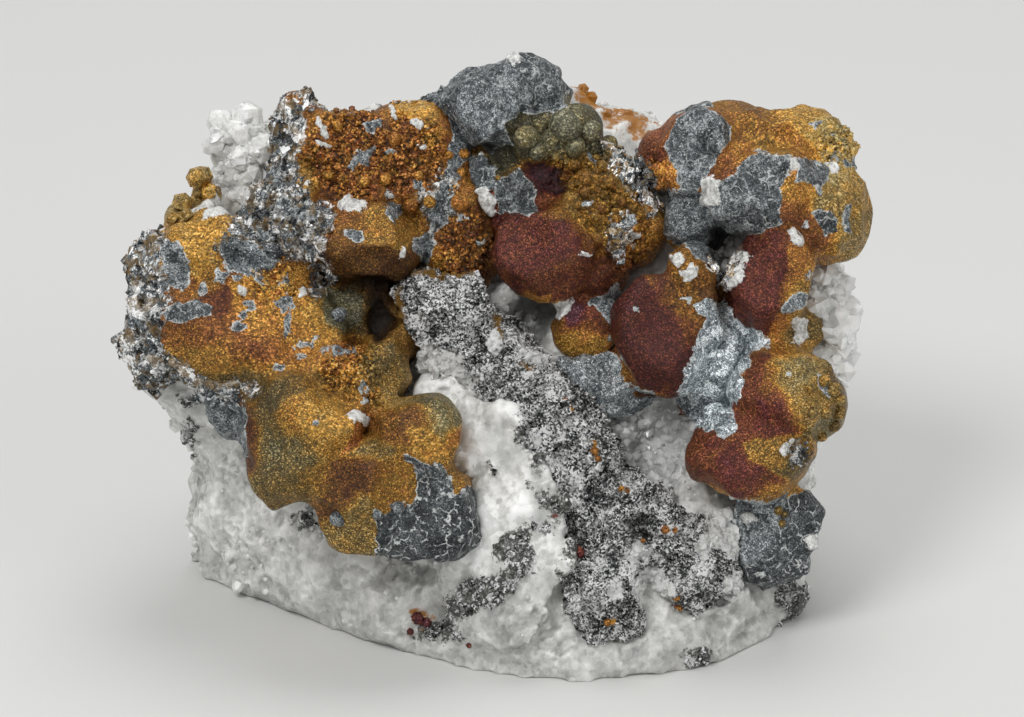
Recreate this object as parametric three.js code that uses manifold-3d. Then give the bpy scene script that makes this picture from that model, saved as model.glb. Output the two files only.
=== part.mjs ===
// A hand specimen of tarnished blister chalcopyrite on white vein quartz.
//
// Lengths are millimetres. Every form is laid out on the specimen's show face:
// x runs across the face, y up it and z out of it towards the viewer. The face
// then leans back and the whole piece stands on the flat break under it.

import * as THREE from 'three';
import { ConvexGeometry } from 'three/addons/geometries/ConvexGeometry.js';
import { ImprovedNoise } from 'three/addons/math/ImprovedNoise.js';
import { mergeVertices } from 'three/addons/utils/BufferGeometryUtils.js';
import Module from 'manifold-3d';

const wasm = await Module();
wasm.setup();

// Driving dimensions.
const leanBack = 25; // degrees by which the show face leans back
const faceForward = 13; // the face's foot lies this far in front of the middle of the base
const faceBelow = 2.5; // and this far under the base plane, which trims it
const seam = 0.3; // gap left between two minerals that touch
const wander = 0.3; // how far the skin of a blister strays from its ellipsoid
const coarseGrain = 4.1; // length of a blister's broad waves
const fineGrain = 1.7; // and of its small ones
const facet = 3.9; // reach for which a blister's skin is divided once more
const spread = 1.06; // blisters reach this much further along the face, so that they grow together
const noise = new ImprovedNoise();
const outOfFace = new THREE.Vector3(0, 0, 1);

const face = new THREE.Group();
face.rotation.x = THREE.MathUtils.degToRad(90 - leanBack);
face.position.set(0, -faceForward, -faceBelow);
face.updateMatrixWorld(true);

// Minerals.
const milkyQuartz = new THREE.MeshStandardMaterial({ color: 0xd9d8d2, roughness: 0.55, metalness: 0 });
const chalcopyrite = new THREE.MeshStandardMaterial({ color: 0x8f5f1c, roughness: 0.5, metalness: 0.6 });
const greySulphide = new THREE.MeshStandardMaterial({ color: 0x8b8e90, roughness: 0.45, metalness: 0.7 });

// A closed geometry as a manifold-3d solid.
function solidOf(geometry) {
  geometry.deleteAttribute('normal');
  geometry.deleteAttribute('uv');
  const merged = mergeVertices(geometry, 1e-4);
  return new wasm.Manifold(new wasm.Mesh({
    numProp: 3,
    vertProperties: merged.attributes.position.array,
    triVerts: new Uint32Array(merged.index.array),
  }));
}

// A manifold-3d solid as a named mesh on the face.
function meshOf(name, solid, material) {
  const { vertProperties, triVerts } = solid.getMesh();
  const geometry = new THREE.BufferGeometry();
  geometry.setAttribute('position', new THREE.BufferAttribute(vertProperties, 3));
  geometry.setIndex(new THREE.BufferAttribute(triVerts, 1));
  geometry.computeVertexNormals();
  const mesh = new THREE.Mesh(geometry, material);
  mesh.name = name;
  return mesh;
}

// A rounded or blocky lump: at and reach are its centre and half sizes, square
// goes from 2 for an ellipsoid to 5 or so for a block, turn spins it on the face
// in degrees, rough is how far its skin wanders. Each row of flats leans a flat of its
// skin across and up, and cuts it at a share of its reach. grow adds to the reach.
function lump({ at, reach: size, square = 2, turn = 0, rough = wander, flats = [] }, grow = 0) {
  const reach = [size[0] * spread, size[1] * spread, size[2]];
  const meanReach = (size[0] + size[1] + size[2]) / 3;
  const geometry = new THREE.IcosahedronGeometry(1, Math.max(1, Math.floor(meanReach / facet)));
  const position = geometry.attributes.position;
  const spin = THREE.MathUtils.degToRad(turn);
  const centre = new THREE.Vector3(...at);
  const point = new THREE.Vector3();
  const outward = new THREE.Vector3();
  for (let i = 0; i < position.count; i += 1) {
    point.fromBufferAttribute(position, i).normalize();
    const power = Math.abs(point.x) ** square + Math.abs(point.y) ** square + Math.abs(point.z) ** square;
    point.multiplyScalar(power ** (-1 / square));
    outward.copy(point).normalize();
    point.set(point.x * reach[0], point.y * reach[1], point.z * reach[2]).addScaledVector(outward, grow);
    point.applyAxisAngle(outOfFace, spin).add(centre);
    outward.applyAxisAngle(outOfFace, spin);
    const coarse = noise.noise(point.x / coarseGrain, point.y / coarseGrain, point.z / coarseGrain);
    const fine = noise.noise(point.x / fineGrain, point.y / fineGrain, point.z / fineGrain);
    point.addScaledVector(outward, rough * (1.4 * coarse + 0.8 * fine));
    position.setXYZ(i, point.x, point.y, point.z);
  }
  let solid = solidOf(geometry);
  const dual = square / (square - 1);
  for (const [across, up, share] of flats) {
    const normal = new THREE.Vector3(across, up, 1).normalize();
    const own = normal.clone().applyAxisAngle(outOfFace, -spin);
    const ends = [own.x * reach[0], own.y * reach[1], own.z * reach[2]];
    const out = ends.reduce((sum, end) => sum + Math.abs(end) ** dual, 0) ** (1 / dual);
    solid = solid.trimByPlane(normal.clone().negate().toArray(), -normal.dot(centre) - share * out - grow);
  }
  return solid;
}

// All lumps of a mass fused in one solid.
function fused(lumps, grow = 0) {
  return wasm.Manifold.union(lumps.map((each) => lump(each, grow)));
}

// A chunk of broken quartz with flat faces between its corners.
function chunk(corners) {
  return solidOf(new ConvexGeometry(corners.map((corner) => new THREE.Vector3(...corner))));
}

// A quartz crystal: a six-sided prism on its point, rooted at its foot.
function crystal({ foot, lean, width, length }) {
  const radius = width / 2;
  const shoulder = length - 0.9 * width;
  const profile = [[0, 0], [radius, 0], [radius, shoulder], [0, length]];
  const geometry = new THREE.LatheGeometry(profile.map((pair) => new THREE.Vector2(...pair)), 6);
  const axis = new THREE.Vector3(...lean).normalize();
  const turn = new THREE.Quaternion().setFromUnitVectors(new THREE.Vector3(0, 1, 0), axis);
  geometry.applyQuaternion(turn).translate(...foot);
  return solidOf(geometry);
}

// The space under the base plane, in the face's own frame.
function underBase() {
  const slab = new THREE.BoxGeometry(300, 300, 100).translate(0, 0, -50);
  return solidOf(slab.applyMatrix4(face.matrixWorld.clone().invert()));
}

// The bed: the quartz body that the sulphides grew on, flat where it broke.
const bedCorners = [
  [-29, 50, -9], [-24, 55.5, -12], [-6, 57, -7], [2, 59.5, -10], [14, 54.8, -8], [28, 53, -6],
  [31, 44, -4], [31.4, 32, -4], [28.6, 14, -4.5], [27.4, -4, -7.5],
  [18, -5, 2.6], [8, -5, 6.6], [2, -5, 6], [-9, -4, 0], [-28.6, 2.4, -15.4], [-32.8, 12, -14],
  [-33.4, 20, -11], [-32.5, 30, -7], [-1, 26, 2.4], [20, 24, 1],
  [-29, 50, -18], [-12, 57, -21], [14, 54, -21], [28, 48, -18], [30, 18, -19], [24, 0, -20],
  [-31, 20, -20], [-22, 6, -26], [-9, 40, -27], [12, 36, -28], [12, 6, -30],
];

// Broken quartz that stands proud of the bed, chunk by chunk.
const shoulderCorners = {
  upperLeft: [
    [-31.8, 52, -12], [-30.6, 56.6, -12], [-26.6, 57.4, -11], [-24, 54, -7],
    [-27, 49, -7], [-31, 48, -11], [-25, 53, -20], [-29, 50, -19],
  ],
  ledgeBehindCrown: [
    [2, 60.4, -10], [5, 59.8, -10], [10, 56.4, -8.6], [14.6, 54.8, -8],
    [14, 50, -6], [3, 52, -6], [4, 57, -18], [13, 54, -18],
  ],
  ledgeUnderLeftRim: [
    [-38.4, 31.6, -4], [-37, 28.8, -3], [-32, 24.4, -3], [-28, 25, -5],
    [-30, 31, -3], [-36, 33, -7], [-36.4, 32.4, -11], [-34, 25, -15], [-30, 22, -14],
  ],
  ribBesideVein: [
    [-10.6, 33.8, 3.4], [-5, 34, 5.4], [2.2, 25.4, 6.8], [6.6, 13, 7.2], [2, 4, 7.4],
    [-6, 3, 2.6], [-6.4, 13, 4.8], [-9.4, 27, 3.4], [0, 20, -6],
  ],
  rightFlank: [
    [30, 41.6, 0], [33.2, 40.6, -2], [34, 34, -3], [32, 29.6, -1],
    [28.6, 31, 0.6], [32.6, 41, -9], [31.8, 30, -11], [30, 43, -12],
  ],
  lowerRight: [
    [15, 8, 4.6], [24, 9.6, 1.8], [27.2, 4.4, -4], [20, -2, 2.4], [13, -2, 5], [20, 6, -8],
  ],
  backUpper: [
    [-27, 46, -16], [-8, 50, -16], [-6, 49, -25], [-25, 44, -22.8],
    [-28, 30, -16], [-26, 29, -23], [-6, 33, -30.4], [-20, 28, -28.4],
  ],
  backLower: [
    [8, 30, -20], [27, 26, -18], [25, 12, -20], [24, 14, -25.6],
    [10, 18, -31], [6, 30, -30], [22, 28, -25.4],
  ],
  leftSide: [
    [-33.8, 24, -13], [-34.2, 15, -16], [-33, 8, -19], [-30, 26, -22],
    [-32, 10, -22], [-28, 20, -12], [-29, 12, -24],
  ],
};

// Quartz crystals that line the hollows and the right edge.
const crystals = [
  { foot: [30.6, 39.4, -2.5], lean: [0.6, 0.3, 0.8], width: 2.6, length: 4.4 },
  { foot: [31.4, 36.8, -3], lean: [1, 0.1, 0.5], width: 2.4, length: 4.0 },
  { foot: [31.0, 34.4, -2], lean: [0.8, -0.2, 0.8], width: 2.8, length: 4.4 },
  { foot: [30.2, 31.8, -2], lean: [0.9, -0.4, 0.6], width: 2.2, length: 4.6 },
  { foot: [29.6, 36.4, -1.5], lean: [0.1, 0.3, 1], width: 2.6, length: 3.6 },
  { foot: [30.2, 29.6, -4], lean: [1, -0.3, 0.4], width: 2.0, length: 4.0 },
  { foot: [10.6, 25.2, -4], lean: [0.3, -0.2, 1], width: 2.4, length: 4.2 },
  { foot: [13.4, 26.6, -5], lean: [-0.2, -0.2, 1], width: 2.8, length: 4.2 },
  { foot: [16.2, 23.8, -5], lean: [-0.3, 0.2, 1], width: 2.2, length: 4.4 },
  { foot: [14.4, 20.6, -4], lean: [0.1, 0.4, 1], width: 2.4, length: 4.2 },
  { foot: [-28.8, 53.6, -12], lean: [-0.3, 1, 0.4], width: 3.4, length: 3.8 },
  { foot: [-26.2, 53.2, -10], lean: [0.1, 0.8, 0.8], width: 3.6, length: 4.4 },
  { foot: [-29.4, 52.2, -11], lean: [-0.6, 0.5, 0.8], width: 3.2, length: 4 },
];

// Hollows in the quartz between the masses.
const hollows = [
  { at: [12.6, 24.4, 3.4], reach: [6.8, 5.6, 7.4] },
  { at: [1.8, 36.6, 3], reach: [3.6, 4.6, 6] },
  { at: [21, 42.6, 3], reach: [3.4, 4.2, 6.4] },
];

// Left mass: a thick crust of blisters that hangs over the quartz.
const leftLumps = [
  { at: [-21.4, 25.2, 7.5], reach: [6.0, 5.4, 6], square: 2.4,
    flats: [[-0.5, -0.1, 0.8], [0.3, 0.5, 0.84], [0.1, -0.6, 0.84]] }, // lower left blister
  { at: [-22.8, 21.4, 7.5], reach: [3.8, 3.8, 4.5], square: 3, turn: 45,
    flats: [[-0.6, -0.3, 0.84], [0.5, -0.4, 0.84]] }, // its tip
  { at: [-28.2, 27.2, 3], reach: [3.2, 2.8, 4], square: 3, rough: 0.5 }, // grey root beside it
  { at: [-14.8, 18.4, 8], reach: [5.0, 5.5, 5.5], square: 2.3,
    flats: [[-0.3, 0.2, 0.82], [0.6, 0.1, 0.86], [-0.2, -0.7, 0.84]] }, // middle blister
  { at: [-8.6, 17.2, 6.6], reach: [5.3, 4.9, 5], square: 2.8, rough: 0.5,
    flats: [[0.1, 0.1, 0.78], [0.2, -0.8, 0.86]] }, // grey coated tip
  { at: [-9.3, 24, 8], reach: [4.8, 4.5, 5.5],
    flats: [[0.1, 0.5, 0.82], [0.5, -0.2, 0.84]] }, // right blister
  { at: [-17.2, 29.2, 5], reach: [5.6, 4.0, 6.4], turn: -30,
    flats: [[-0.1, -0.2, 0.8]] }, // saddle to the broad plate
  { at: [-12.8, 31.2, 2.5], reach: [3.4, 3.8, 4.6] }, // olive blister
  { at: [-10.4, 34.2, 1], reach: [2, 3, 3.6] }, // wall beside the vein's head
  { at: [-15.4, 36.6, -2.5], reach: [5.6, 4.6, 4.2], rough: 0.6 }, // crust in the hollow
  { at: [-26.4, 34.6, 2], reach: [9.8, 6.4, 7], square: 2.6, turn: -12,
    flats: [[0.05, 0.35, 0.8], [-0.3, -0.4, 0.82], [0.5, 0.1, 0.86]] }, // broad plate
  { at: [-35, 37.2, 0], reach: [3.6, 7.4, 6], square: 3.2, turn: -8, rough: 0.6,
    flats: [[-0.5, 0.1, 0.8], [0.2, 0, 0.86]] }, // broken left rim
  { at: [-30.6, 43.6, 1.5], reach: [3.6, 3.0, 5], square: 3.4, turn: 22,
    flats: [[-0.25, 0.5, 0.7], [0.5, -0.1, 0.8]] }, // gold wedge
  { at: [-31.2, 48.8, -5], reach: [1.5, 2.3, 2.4], square: 3,
    flats: [[-0.5, 0.3, 0.72], [0.7, 0.3, 0.76]] }, // ochre crystals above it
  { at: [-32.8, 46, -3.2], reach: [1.8, 2, 3], square: 3, turn: 30,
    flats: [[-0.4, 0.4, 0.76]] },
  { at: [-23.4, 43.6, 0], reach: [4.6, 7.4, 6], square: 2.6, turn: -22, rough: 0.6,
    flats: [[-0.35, 0.1, 0.8], [0.45, -0.2, 0.86]] }, // grey shoulder
  { at: [-17.6, 51.4, -2], reach: [6.6, 5.9, 5], square: 3.4, turn: -4, rough: 0.7,
    flats: [[0.05, 0.15, 0.76]] }, // upper plate
  { at: [-10.2, 52, -2.5], reach: [5.4, 5.4, 5], square: 3, turn: 6, rough: 0.7,
    flats: [[0.1, 0.1, 0.78], [0.6, 0.3, 0.86]] },
  { at: [-21.1, 56, -2.5], reach: [1.8, 2.6, 3.4], turn: 14, square: 4 }, // its raised corner
  { at: [-14.4, 43.4, 1.5], reach: [5.4, 4.1, 5.5],
    flats: [[0, 0.6, 0.8], [0.05, -0.6, 0.84]] }, // blister under the plate
  { at: [-5.4, 44.6, -1.2], reach: [3.8, 7.6, 4.8], turn: 14, rough: 0.7 }, // granular shoulder
];

// Crown: the dark block, the olive blisters and the red ones below them.
const crownLumps = [
  { at: [-0.4, 57.6, -2.5], reach: [6.0, 4.4, 6], square: 3.4, turn: 10, rough: 0.5,
    flats: [[-0.35, 0.15, 0.78], [0.5, 0.1, 0.82]] }, // dark block
  { at: [-5.8, 55.6, -4], reach: [3.4, 3.2, 4.8], square: 3, rough: 0.5 },
  { at: [1.5, 53.2, 0.5], reach: [2.2, 3.2, 3.4] }, // olive blisters
  { at: [5.6, 53.6, -0.5], reach: [3.3, 4.0, 4.4],
    flats: [[-0.2, 0.2, 0.82], [0.5, 0.1, 0.86]] },
  { at: [9.8, 50.6, -2], reach: [2.4, 3.4, 4] },
  { at: [3.2, 50, -1], reach: [2.8, 2.8, 3.6], rough: 0.5 }, // violet root between them
  { at: [8.8, 46.8, 0.5], reach: [5.2, 5.2, 5.2], rough: 0.5,
    flats: [[0.1, 0.35, 0.82], [0.5, -0.1, 0.86]] }, // brown gold blister
  { at: [13.2, 45.4, -1], reach: [2.6, 4.8, 4], rough: 0.5 },
  { at: [3.2, 42.6, 2], reach: [5.4, 4.9, 5.4], square: 2.2,
    flats: [[-0.1, 0.1, 0.78], [0.2, -0.6, 0.86]] }, // red blister
  { at: [8, 42, 0.6], reach: [4.2, 3.6, 4.6], rough: 0.5,
    flats: [[0.3, -0.1, 0.82]] }, // its right end
  { at: [7.0, 35.6, 0.5], reach: [3.2, 3.3, 3.8],
    flats: [[0.1, 0.1, 0.76]] }, // small gold blister
  { at: [-1, 48.8, -1.8], reach: [5.2, 4.2, 4.4], square: 2.4, rough: 0.7 }, // grey saddle
];

// Right mass: a column of blisters, partly coated grey, from the middle outwards.
const rightLumps = [
  { at: [14.2, 34.4, 4], reach: [4.2, 6.0, 5.4], square: 2.3, turn: 4,
    flats: [[-0.05, 0.1, 0.74], [-0.5, -0.5, 0.86]] }, // dark red blister
  { at: [17.2, 37, 3.5], reach: [3.2, 4.2, 4.6],
    flats: [[0.2, 0.1, 0.8]] }, // gold saddle
  { at: [17.8, 41, 4.6], reach: [2.3, 2.5, 3.6] }, // knob
  { at: [8.6, 30.2, -0.8], reach: [6.0, 3.8, 3.2], square: 3, rough: 0.7 }, // grey crust beside it
  { at: [18.4, 53, 2], reach: [3.6, 4.4, 4.6], square: 2.8, turn: -12,
    flats: [[-0.15, 0.15, 0.72]] }, // flat grey block
  { at: [14.8, 51.6, -0.5], reach: [2.3, 3.2, 4] },
  { at: [22.8, 54.2, 0], reach: [4.0, 3.6, 5],
    flats: [[0.1, 0.3, 0.8]] },
  { at: [29.6, 53, -0.5], reach: [4.6, 4.0, 5.4], turn: -25, square: 2.3,
    flats: [[0.3, 0.35, 0.78], [-0.4, 0.2, 0.86]] },
  { at: [25, 48.8, 3.6], reach: [5.0, 4.2, 5.4], square: 2.6,
    flats: [[-0.1, 0.05, 0.74], [0, -0.7, 0.86]] }, // coated blister
  { at: [31.4, 46.4, 1], reach: [4.1, 4.8, 6], square: 2.3,
    flats: [[0.25, 0, 0.78], [1.2, 0.1, 0.84]] }, // outer blister
  { at: [18.4, 46.8, -0.5], reach: [4, 4, 4.6], rough: 0.7 }, // grey crust
  { at: [25.8, 39.6, 4], reach: [4.2, 5.8, 5], turn: -8,
    flats: [[-0.35, 0.1, 0.8], [0.5, 0, 0.84]] }, // middle red blister
  { at: [26.4, 34.4, 0.5], reach: [4.2, 4.4, 3.6] }, // its root
  { at: [20.7, 32.8, -0.8], reach: [3.8, 7.6, 3.8], square: 3.2, turn: -16, rough: 0.8 }, // grey septum
  { at: [27.4, 28.8, 4.6], reach: [5.4, 5.0, 5.8], square: 2.2,
    flats: [[0.05, 0.3, 0.78], [0.7, -0.1, 0.86], [-0.5, 0, 0.88]] }, // lower blister
  { at: [23.8, 22.6, 4.6], reach: [6.4, 4.5, 5.4], square: 2.2,
    flats: [[-0.3, -0.1, 0.78], [0.2, -0.7, 0.86]] },
  { at: [31.0, 27, 2.4], reach: [2.6, 3.2, 4.6] },
  { at: [25.6, 14.4, -1], reach: [4.7, 5.2, 5], square: 3.2, turn: -8, rough: 0.7,
    flats: [[-0.4, 0.1, 0.8], [0.6, 0, 0.84]] }, // grey foot
];

// Grey vein: a broad band of granular ore, broken level with the quartz.
const veinLumps = [
  { at: [-6.9, 36, 1.8], reach: [4.8, 4.9, 4.2], square: 2.4, rough: 0.6 }, // its head
  { at: [-0.6, 30.6, 1.6], reach: [7.4, 3.9, 4.2], square: 3.2, turn: -48, rough: 0.8 },
  { at: [5, 24, 2.4], reach: [7.2, 4.1, 4.4], square: 3.2, turn: -56, rough: 0.8 },
  { at: [10, 15.8, 2.8], reach: [7.0, 5.2, 4], square: 3.2, turn: -24, rough: 0.8 },
  { at: [9, 9.2, 4.2], reach: [3.6, 5.4, 3.4], square: 3, turn: 6, rough: 0.7 },
  { at: [17.4, 12, 1.6], reach: [5.0, 4.6, 3.8], square: 3, rough: 0.8 },
];

const bedMiddle = 28; // height of its middle on the face
const bedGrown = chunk(bedCorners.map(([x, y, z]) => [
  x + seam * Math.sign(x),
  y + seam * Math.sign(y - bedMiddle),
  z + seam,
])).subtract(fused(hollows, -seam));
const leftMass = fused(leftLumps).subtract(bedGrown);
const crownMass = fused(crownLumps).subtract(bedGrown).subtract(fused(leftLumps, seam));
const rightMass = fused(rightLumps).subtract(bedGrown).subtract(fused(crownLumps, seam));
const vein = fused(veinLumps)
  .subtract(bedGrown)
  .subtract(fused([...leftLumps, ...crownLumps, ...rightLumps], seam));
const shoulders = wasm.Manifold.union(Object.values(shoulderCorners).map(chunk))
  .add(wasm.Manifold.union(crystals.map(crystal)))
  .subtract(fused([...leftLumps, ...crownLumps, ...rightLumps, ...veinLumps], seam));
const quartz = chunk(bedCorners).subtract(fused(hollows)).add(shoulders).subtract(underBase());

face.add(
  meshOf('quartz_matrix', quartz, milkyQuartz),
  meshOf('left_chalcopyrite', leftMass, chalcopyrite),
  meshOf('crown_chalcopyrite', crownMass, chalcopyrite),
  meshOf('right_chalcopyrite', rightMass, chalcopyrite),
  meshOf('sulphide_vein', vein, greySulphide),
);

const specimen = new THREE.Group();
specimen.add(face);

export default specimen;
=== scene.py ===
import math

import bmesh
import bpy
import numpy as np
from mathutils import Matrix, Vector


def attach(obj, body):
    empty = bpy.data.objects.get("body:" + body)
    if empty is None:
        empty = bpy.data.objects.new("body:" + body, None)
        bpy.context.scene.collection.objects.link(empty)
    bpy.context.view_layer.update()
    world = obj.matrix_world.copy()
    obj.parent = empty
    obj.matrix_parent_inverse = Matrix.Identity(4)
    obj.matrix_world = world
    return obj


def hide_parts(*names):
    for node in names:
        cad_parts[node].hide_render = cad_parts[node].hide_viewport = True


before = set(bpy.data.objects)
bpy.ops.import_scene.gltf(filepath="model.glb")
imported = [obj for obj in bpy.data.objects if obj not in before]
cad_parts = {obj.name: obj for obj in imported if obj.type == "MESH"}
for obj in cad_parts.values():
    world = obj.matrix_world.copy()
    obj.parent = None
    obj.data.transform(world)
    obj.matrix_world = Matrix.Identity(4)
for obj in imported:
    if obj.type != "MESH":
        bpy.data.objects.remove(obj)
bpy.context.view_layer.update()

mm = 0.001

# The show face has a frame of its own: x across it, y up it and z out of it, in mm.
# Spots on the specimen are given by x and y as they look from straight in front.
showFace = {
    "leanBack": 25,  # degrees
    # mm
    "footForward": 13,
    "footBelow": 2.5,
    "eyeHeight": 32.15,
    "eyeDistance": 568.9,
}
faceTurn = Matrix.Rotation(math.radians(90 - showFace["leanBack"]), 3, "X")
faceFoot = Vector((0, -showFace["footForward"], -showFace["footBelow"])) * mm


def toFace(points):
    return (points - np.array(faceFoot)) @ np.array(faceTurn) / mm


def toRow(points):
    return (np.array(points) * mm) @ np.array(faceTurn).T + np.array(faceFoot)


def seenFromFront(face):  # where a point of the face frame shows, on the plane z = 0
    closer = showFace["eyeDistance"] / (showFace["eyeDistance"] - face[:, 2])
    height = showFace["eyeHeight"]
    return np.stack([face[:, 0] * closer, height + (face[:, 1] - height) * closer], axis=1)


# ---- patterns worked out on the mesh points, in mm

farOutside = -9.0  # mm, what counts as far from every oval and outline


def hashed(cell, seed):  # a fixed number from 0 to 1 for each whole-numbered cell
    whole = cell.astype(np.int64)
    # large primes mix the bits
    mixed = (whole[:, 0] * 73856093) ^ (whole[:, 1] * 19349663) ^ (whole[:, 2] * 83492791) ^ (seed * 60493)
    mixed = ((mixed ^ (mixed >> 13)) * 1274126177) & 0xffffffff
    mixed = ((mixed ^ (mixed >> 15)) * 668265263) & 0xffffffff
    return ((mixed ^ (mixed >> 16)) & 0xffff) / 65535


def waves(points, size, seed):  # soft noise from about -1 to 1, in two sizes
    total, reach, full = 0, 1, 0
    for octave in range(2):
        spot = points / size * 2 ** octave
        base = np.floor(spot)
        ease = spot - base
        ease = ease * ease * (3 - 2 * ease)
        for corner in np.ndindex(2, 2, 2):
            share = np.prod(np.where(np.array(corner) == 1, ease, 1 - ease), axis=1)
            total = total + share * reach * (hashed(base + corner, seed + octave) * 2 - 1)
        full += reach
        reach *= 0.5
    return total / full * 1.6


def cells(points, size, seed):  # nearest grain: distance to its middle, gap to the next, its middle
    spot = points / size
    base = np.floor(spot)
    first = np.full(len(spot), 9.0)
    second = first.copy()
    middle = np.zeros_like(spot)
    for step in np.ndindex(3, 3, 3):
        cell = base + step - 1
        seed3 = [hashed(cell, seed + axis) for axis in (31, 47, 59)]
        centre = cell + np.stack(seed3, axis=1)
        away = np.linalg.norm(spot - centre, axis=1)
        nearer = away < first
        second = np.where(nearer, first, np.minimum(second, away))
        middle[nearer] = centre[nearer]
        first = np.minimum(first, away)
    return first * size, (second - first) * size, middle * size


def facets(points, size, seed):  # each grain's flat tilts its own way: height from about -1 to 1
    middle = cells(points, size, seed)[2]
    tilt = np.stack([hashed(np.round(middle * 97), seed + axis) * 2 - 1 for axis in (3, 5, 7)], axis=1)
    return np.sum((points - middle) * tilt, axis=1) / size * 1.4


def flats(points, size, radius, seed):  # what to add to a ball of that radius to give it flat faces
    away = cells(points, size, seed)[0]
    return (np.minimum(away, 0.72 * size) ** 2 - 0.27 * size ** 2) / (2 * radius)


def smoothStep(value, low, high):
    part = np.clip((value - low) / (high - low), 0, 1)
    return part * part * (3 - 2 * part)


def strayed(face, ragged, grain, seed):  # the points as seen from the front, shifted by a noise
    shift = np.stack([waves(face, grain, seed), waves(face, grain, seed + 9)], axis=1)
    return seenFromFront(face) + ragged * shift


def insideOvals(show, ovals):  # mm inside the nearest oval (x, y, half width, half height, turn)
    best = np.full(len(show), farOutside)
    for x, y, wide, high, *turn in ovals:
        angle = math.radians(turn[0]) if turn else 0
        dx, dy = show[:, 0] - x, show[:, 1] - y
        along = (dx * math.cos(angle) + dy * math.sin(angle)) / wide
        across = (dy * math.cos(angle) - dx * math.sin(angle)) / high
        best = np.maximum(best, (1 - np.hypot(along, across)) * min(wide, high))
    return best


def insideOutlines(show, outlines):  # mm inside the nearest closed outline, negative outside
    best = np.full(len(show), farOutside)
    for outline in outlines:
        corners = np.array(outline, float)
        nearest = np.full(len(show), 99.0)
        crossed = np.zeros(len(show), bool)
        for start, end in zip(corners, np.roll(corners, -1, axis=0)):
            edge = end - start
            along = np.clip((show - start) @ edge / (edge @ edge), 0, 1)
            nearest = np.minimum(nearest, np.linalg.norm(show - start - along[:, None] * edge, axis=1))
            above = (start[1] > show[:, 1]) != (end[1] > show[:, 1])
            slope = (end[0] - start[0]) / (end[1] - start[1] or 1e-9)
            crossed ^= above & (show[:, 0] < start[0] + slope * (show[:, 1] - start[1]))
        best = np.maximum(best, np.where(crossed, nearest, -nearest))
    return best


def blended(show, spots, column):  # a value that runs smoothly between spots (x, y, wide, high, values)
    weight = np.full(len(show), 1e-9)
    total = weight * 0
    for x, y, wide, high, *values in spots:
        away = ((show[:, 0] - x) / wide) ** 2 + ((show[:, 1] - y) / high) ** 2
        share = np.exp(-1.6 * np.minimum(away, 12)) + 1e-4 / (1 + away)
        weight = weight + share
        total = total + share * values[column]
    return total / weight


# ---- meshes

def applied(piece):  # the piece's modifiers become its mesh
    graph = bpy.context.evaluated_depsgraph_get()
    mesh = bpy.data.meshes.new_from_object(piece.evaluated_get(graph))
    piece.modifiers.clear()
    piece.data = mesh


def newPiece(name, mesh):
    piece = bpy.data.objects.new(name, mesh)
    bpy.context.scene.collection.objects.link(piece)
    return piece


def vectorsOf(items, name):  # one vector of each point or face of a mesh, as rows
    values = np.empty(len(items) * 3, np.float32)
    items.foreach_get(name, values)
    return values.reshape(-1, 3).astype(float)


def pointsOf(mesh):  # the points of a mesh and their normals
    return vectorsOf(mesh.vertices, "co"), vectorsOf(mesh.vertices, "normal")


def wear(piece, rounds):  # adds a modifier that smooths the piece
    smooth = piece.modifiers.new("wear", "SMOOTH")
    smooth.factor = 0.5
    smooth.iterations = rounds


def roundedCopy(name, node, voxel, rounds):  # the solid with its flats and sharp joins worn soft
    form = bmesh.new()
    form.from_mesh(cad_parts[node].data)
    bmesh.ops.remove_doubles(form, verts=form.verts, dist=1e-6)
    mesh = bpy.data.meshes.new(name)
    form.to_mesh(mesh)
    form.free()
    piece = newPiece(name, mesh)
    remesh = piece.modifiers.new("skin", "REMESH")
    remesh.mode = "VOXEL"
    remesh.voxel_size = voxel * mm
    wear(piece, rounds)
    applied(piece)
    dropIslands(piece)
    finer = piece.modifiers.new("finer", "SUBSURF")
    finer.levels = finer.render_levels = 1
    applied(piece)
    return piece


def dropIslands(piece):  # loose bits left by small hollows inside a solid go
    form = bmesh.new()
    form.from_mesh(piece.data)
    waiting, islands = set(form.verts), []
    while waiting:
        island, edge = set(), [waiting.pop()]
        while edge:
            vert = edge.pop()
            island.add(vert)
            near = {link.other_vert(vert) for link in vert.link_edges} & waiting
            waiting -= near
            edge.extend(near)
        islands.append(island)
    islands.sort(key=len)
    bmesh.ops.delete(form, geom=[vert for island in islands[:-1] for vert in island], context="VERTS")
    form.to_mesh(piece.data)
    form.free()


def standOn(piece, spots):  # the skin's points in front at spots (x, y, ...), and their normals
    reach = 0.35  # mm round a spot; where nothing is that near, the nearest point is taken
    points, normals = pointsOf(piece.data)
    face = toFace(points)
    show = seenFromFront(face)
    picked = []
    for x, y in (spot[:2] for spot in spots):
        near = np.hypot(show[:, 0] - x, show[:, 1] - y)
        picked.append(np.argmax(np.where(near < reach, face[:, 2], -99 - near)))
    return points[picked], normals[picked]


def creased(piece, rounds):  # mm by which each point lies under the worn-down form
    wear(piece, rounds)
    wornFormAndCreaseShade = piece.evaluated_get(bpy.context.evaluated_depsgraph_get()).to_mesh()
    points, normals = pointsOf(piece.data)
    depth = np.sum((pointsOf(wornFormAndCreaseShade)[0] - points) * normals, axis=1) / mm
    piece.modifiers.clear()
    return depth


def push(piece, height, rounds=0):  # moves each point along its normal by height in mm, then wears it
    points, normals = pointsOf(piece.data)
    points += normals * np.reshape(height, (-1, 1)) * mm
    piece.data.vertices.foreach_set("co", points.astype(np.float32).ravel())
    piece.data.update()
    if rounds:
        wear(piece, rounds)
        applied(piece)


def keep(piece, values):  # values per point, by name, for the material
    for name, numbers in values.items():
        layer = piece.data.attributes.new(name, "FLOAT", "POINT")
        layer.data.foreach_set("value", np.asarray(numbers, np.float32))


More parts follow.
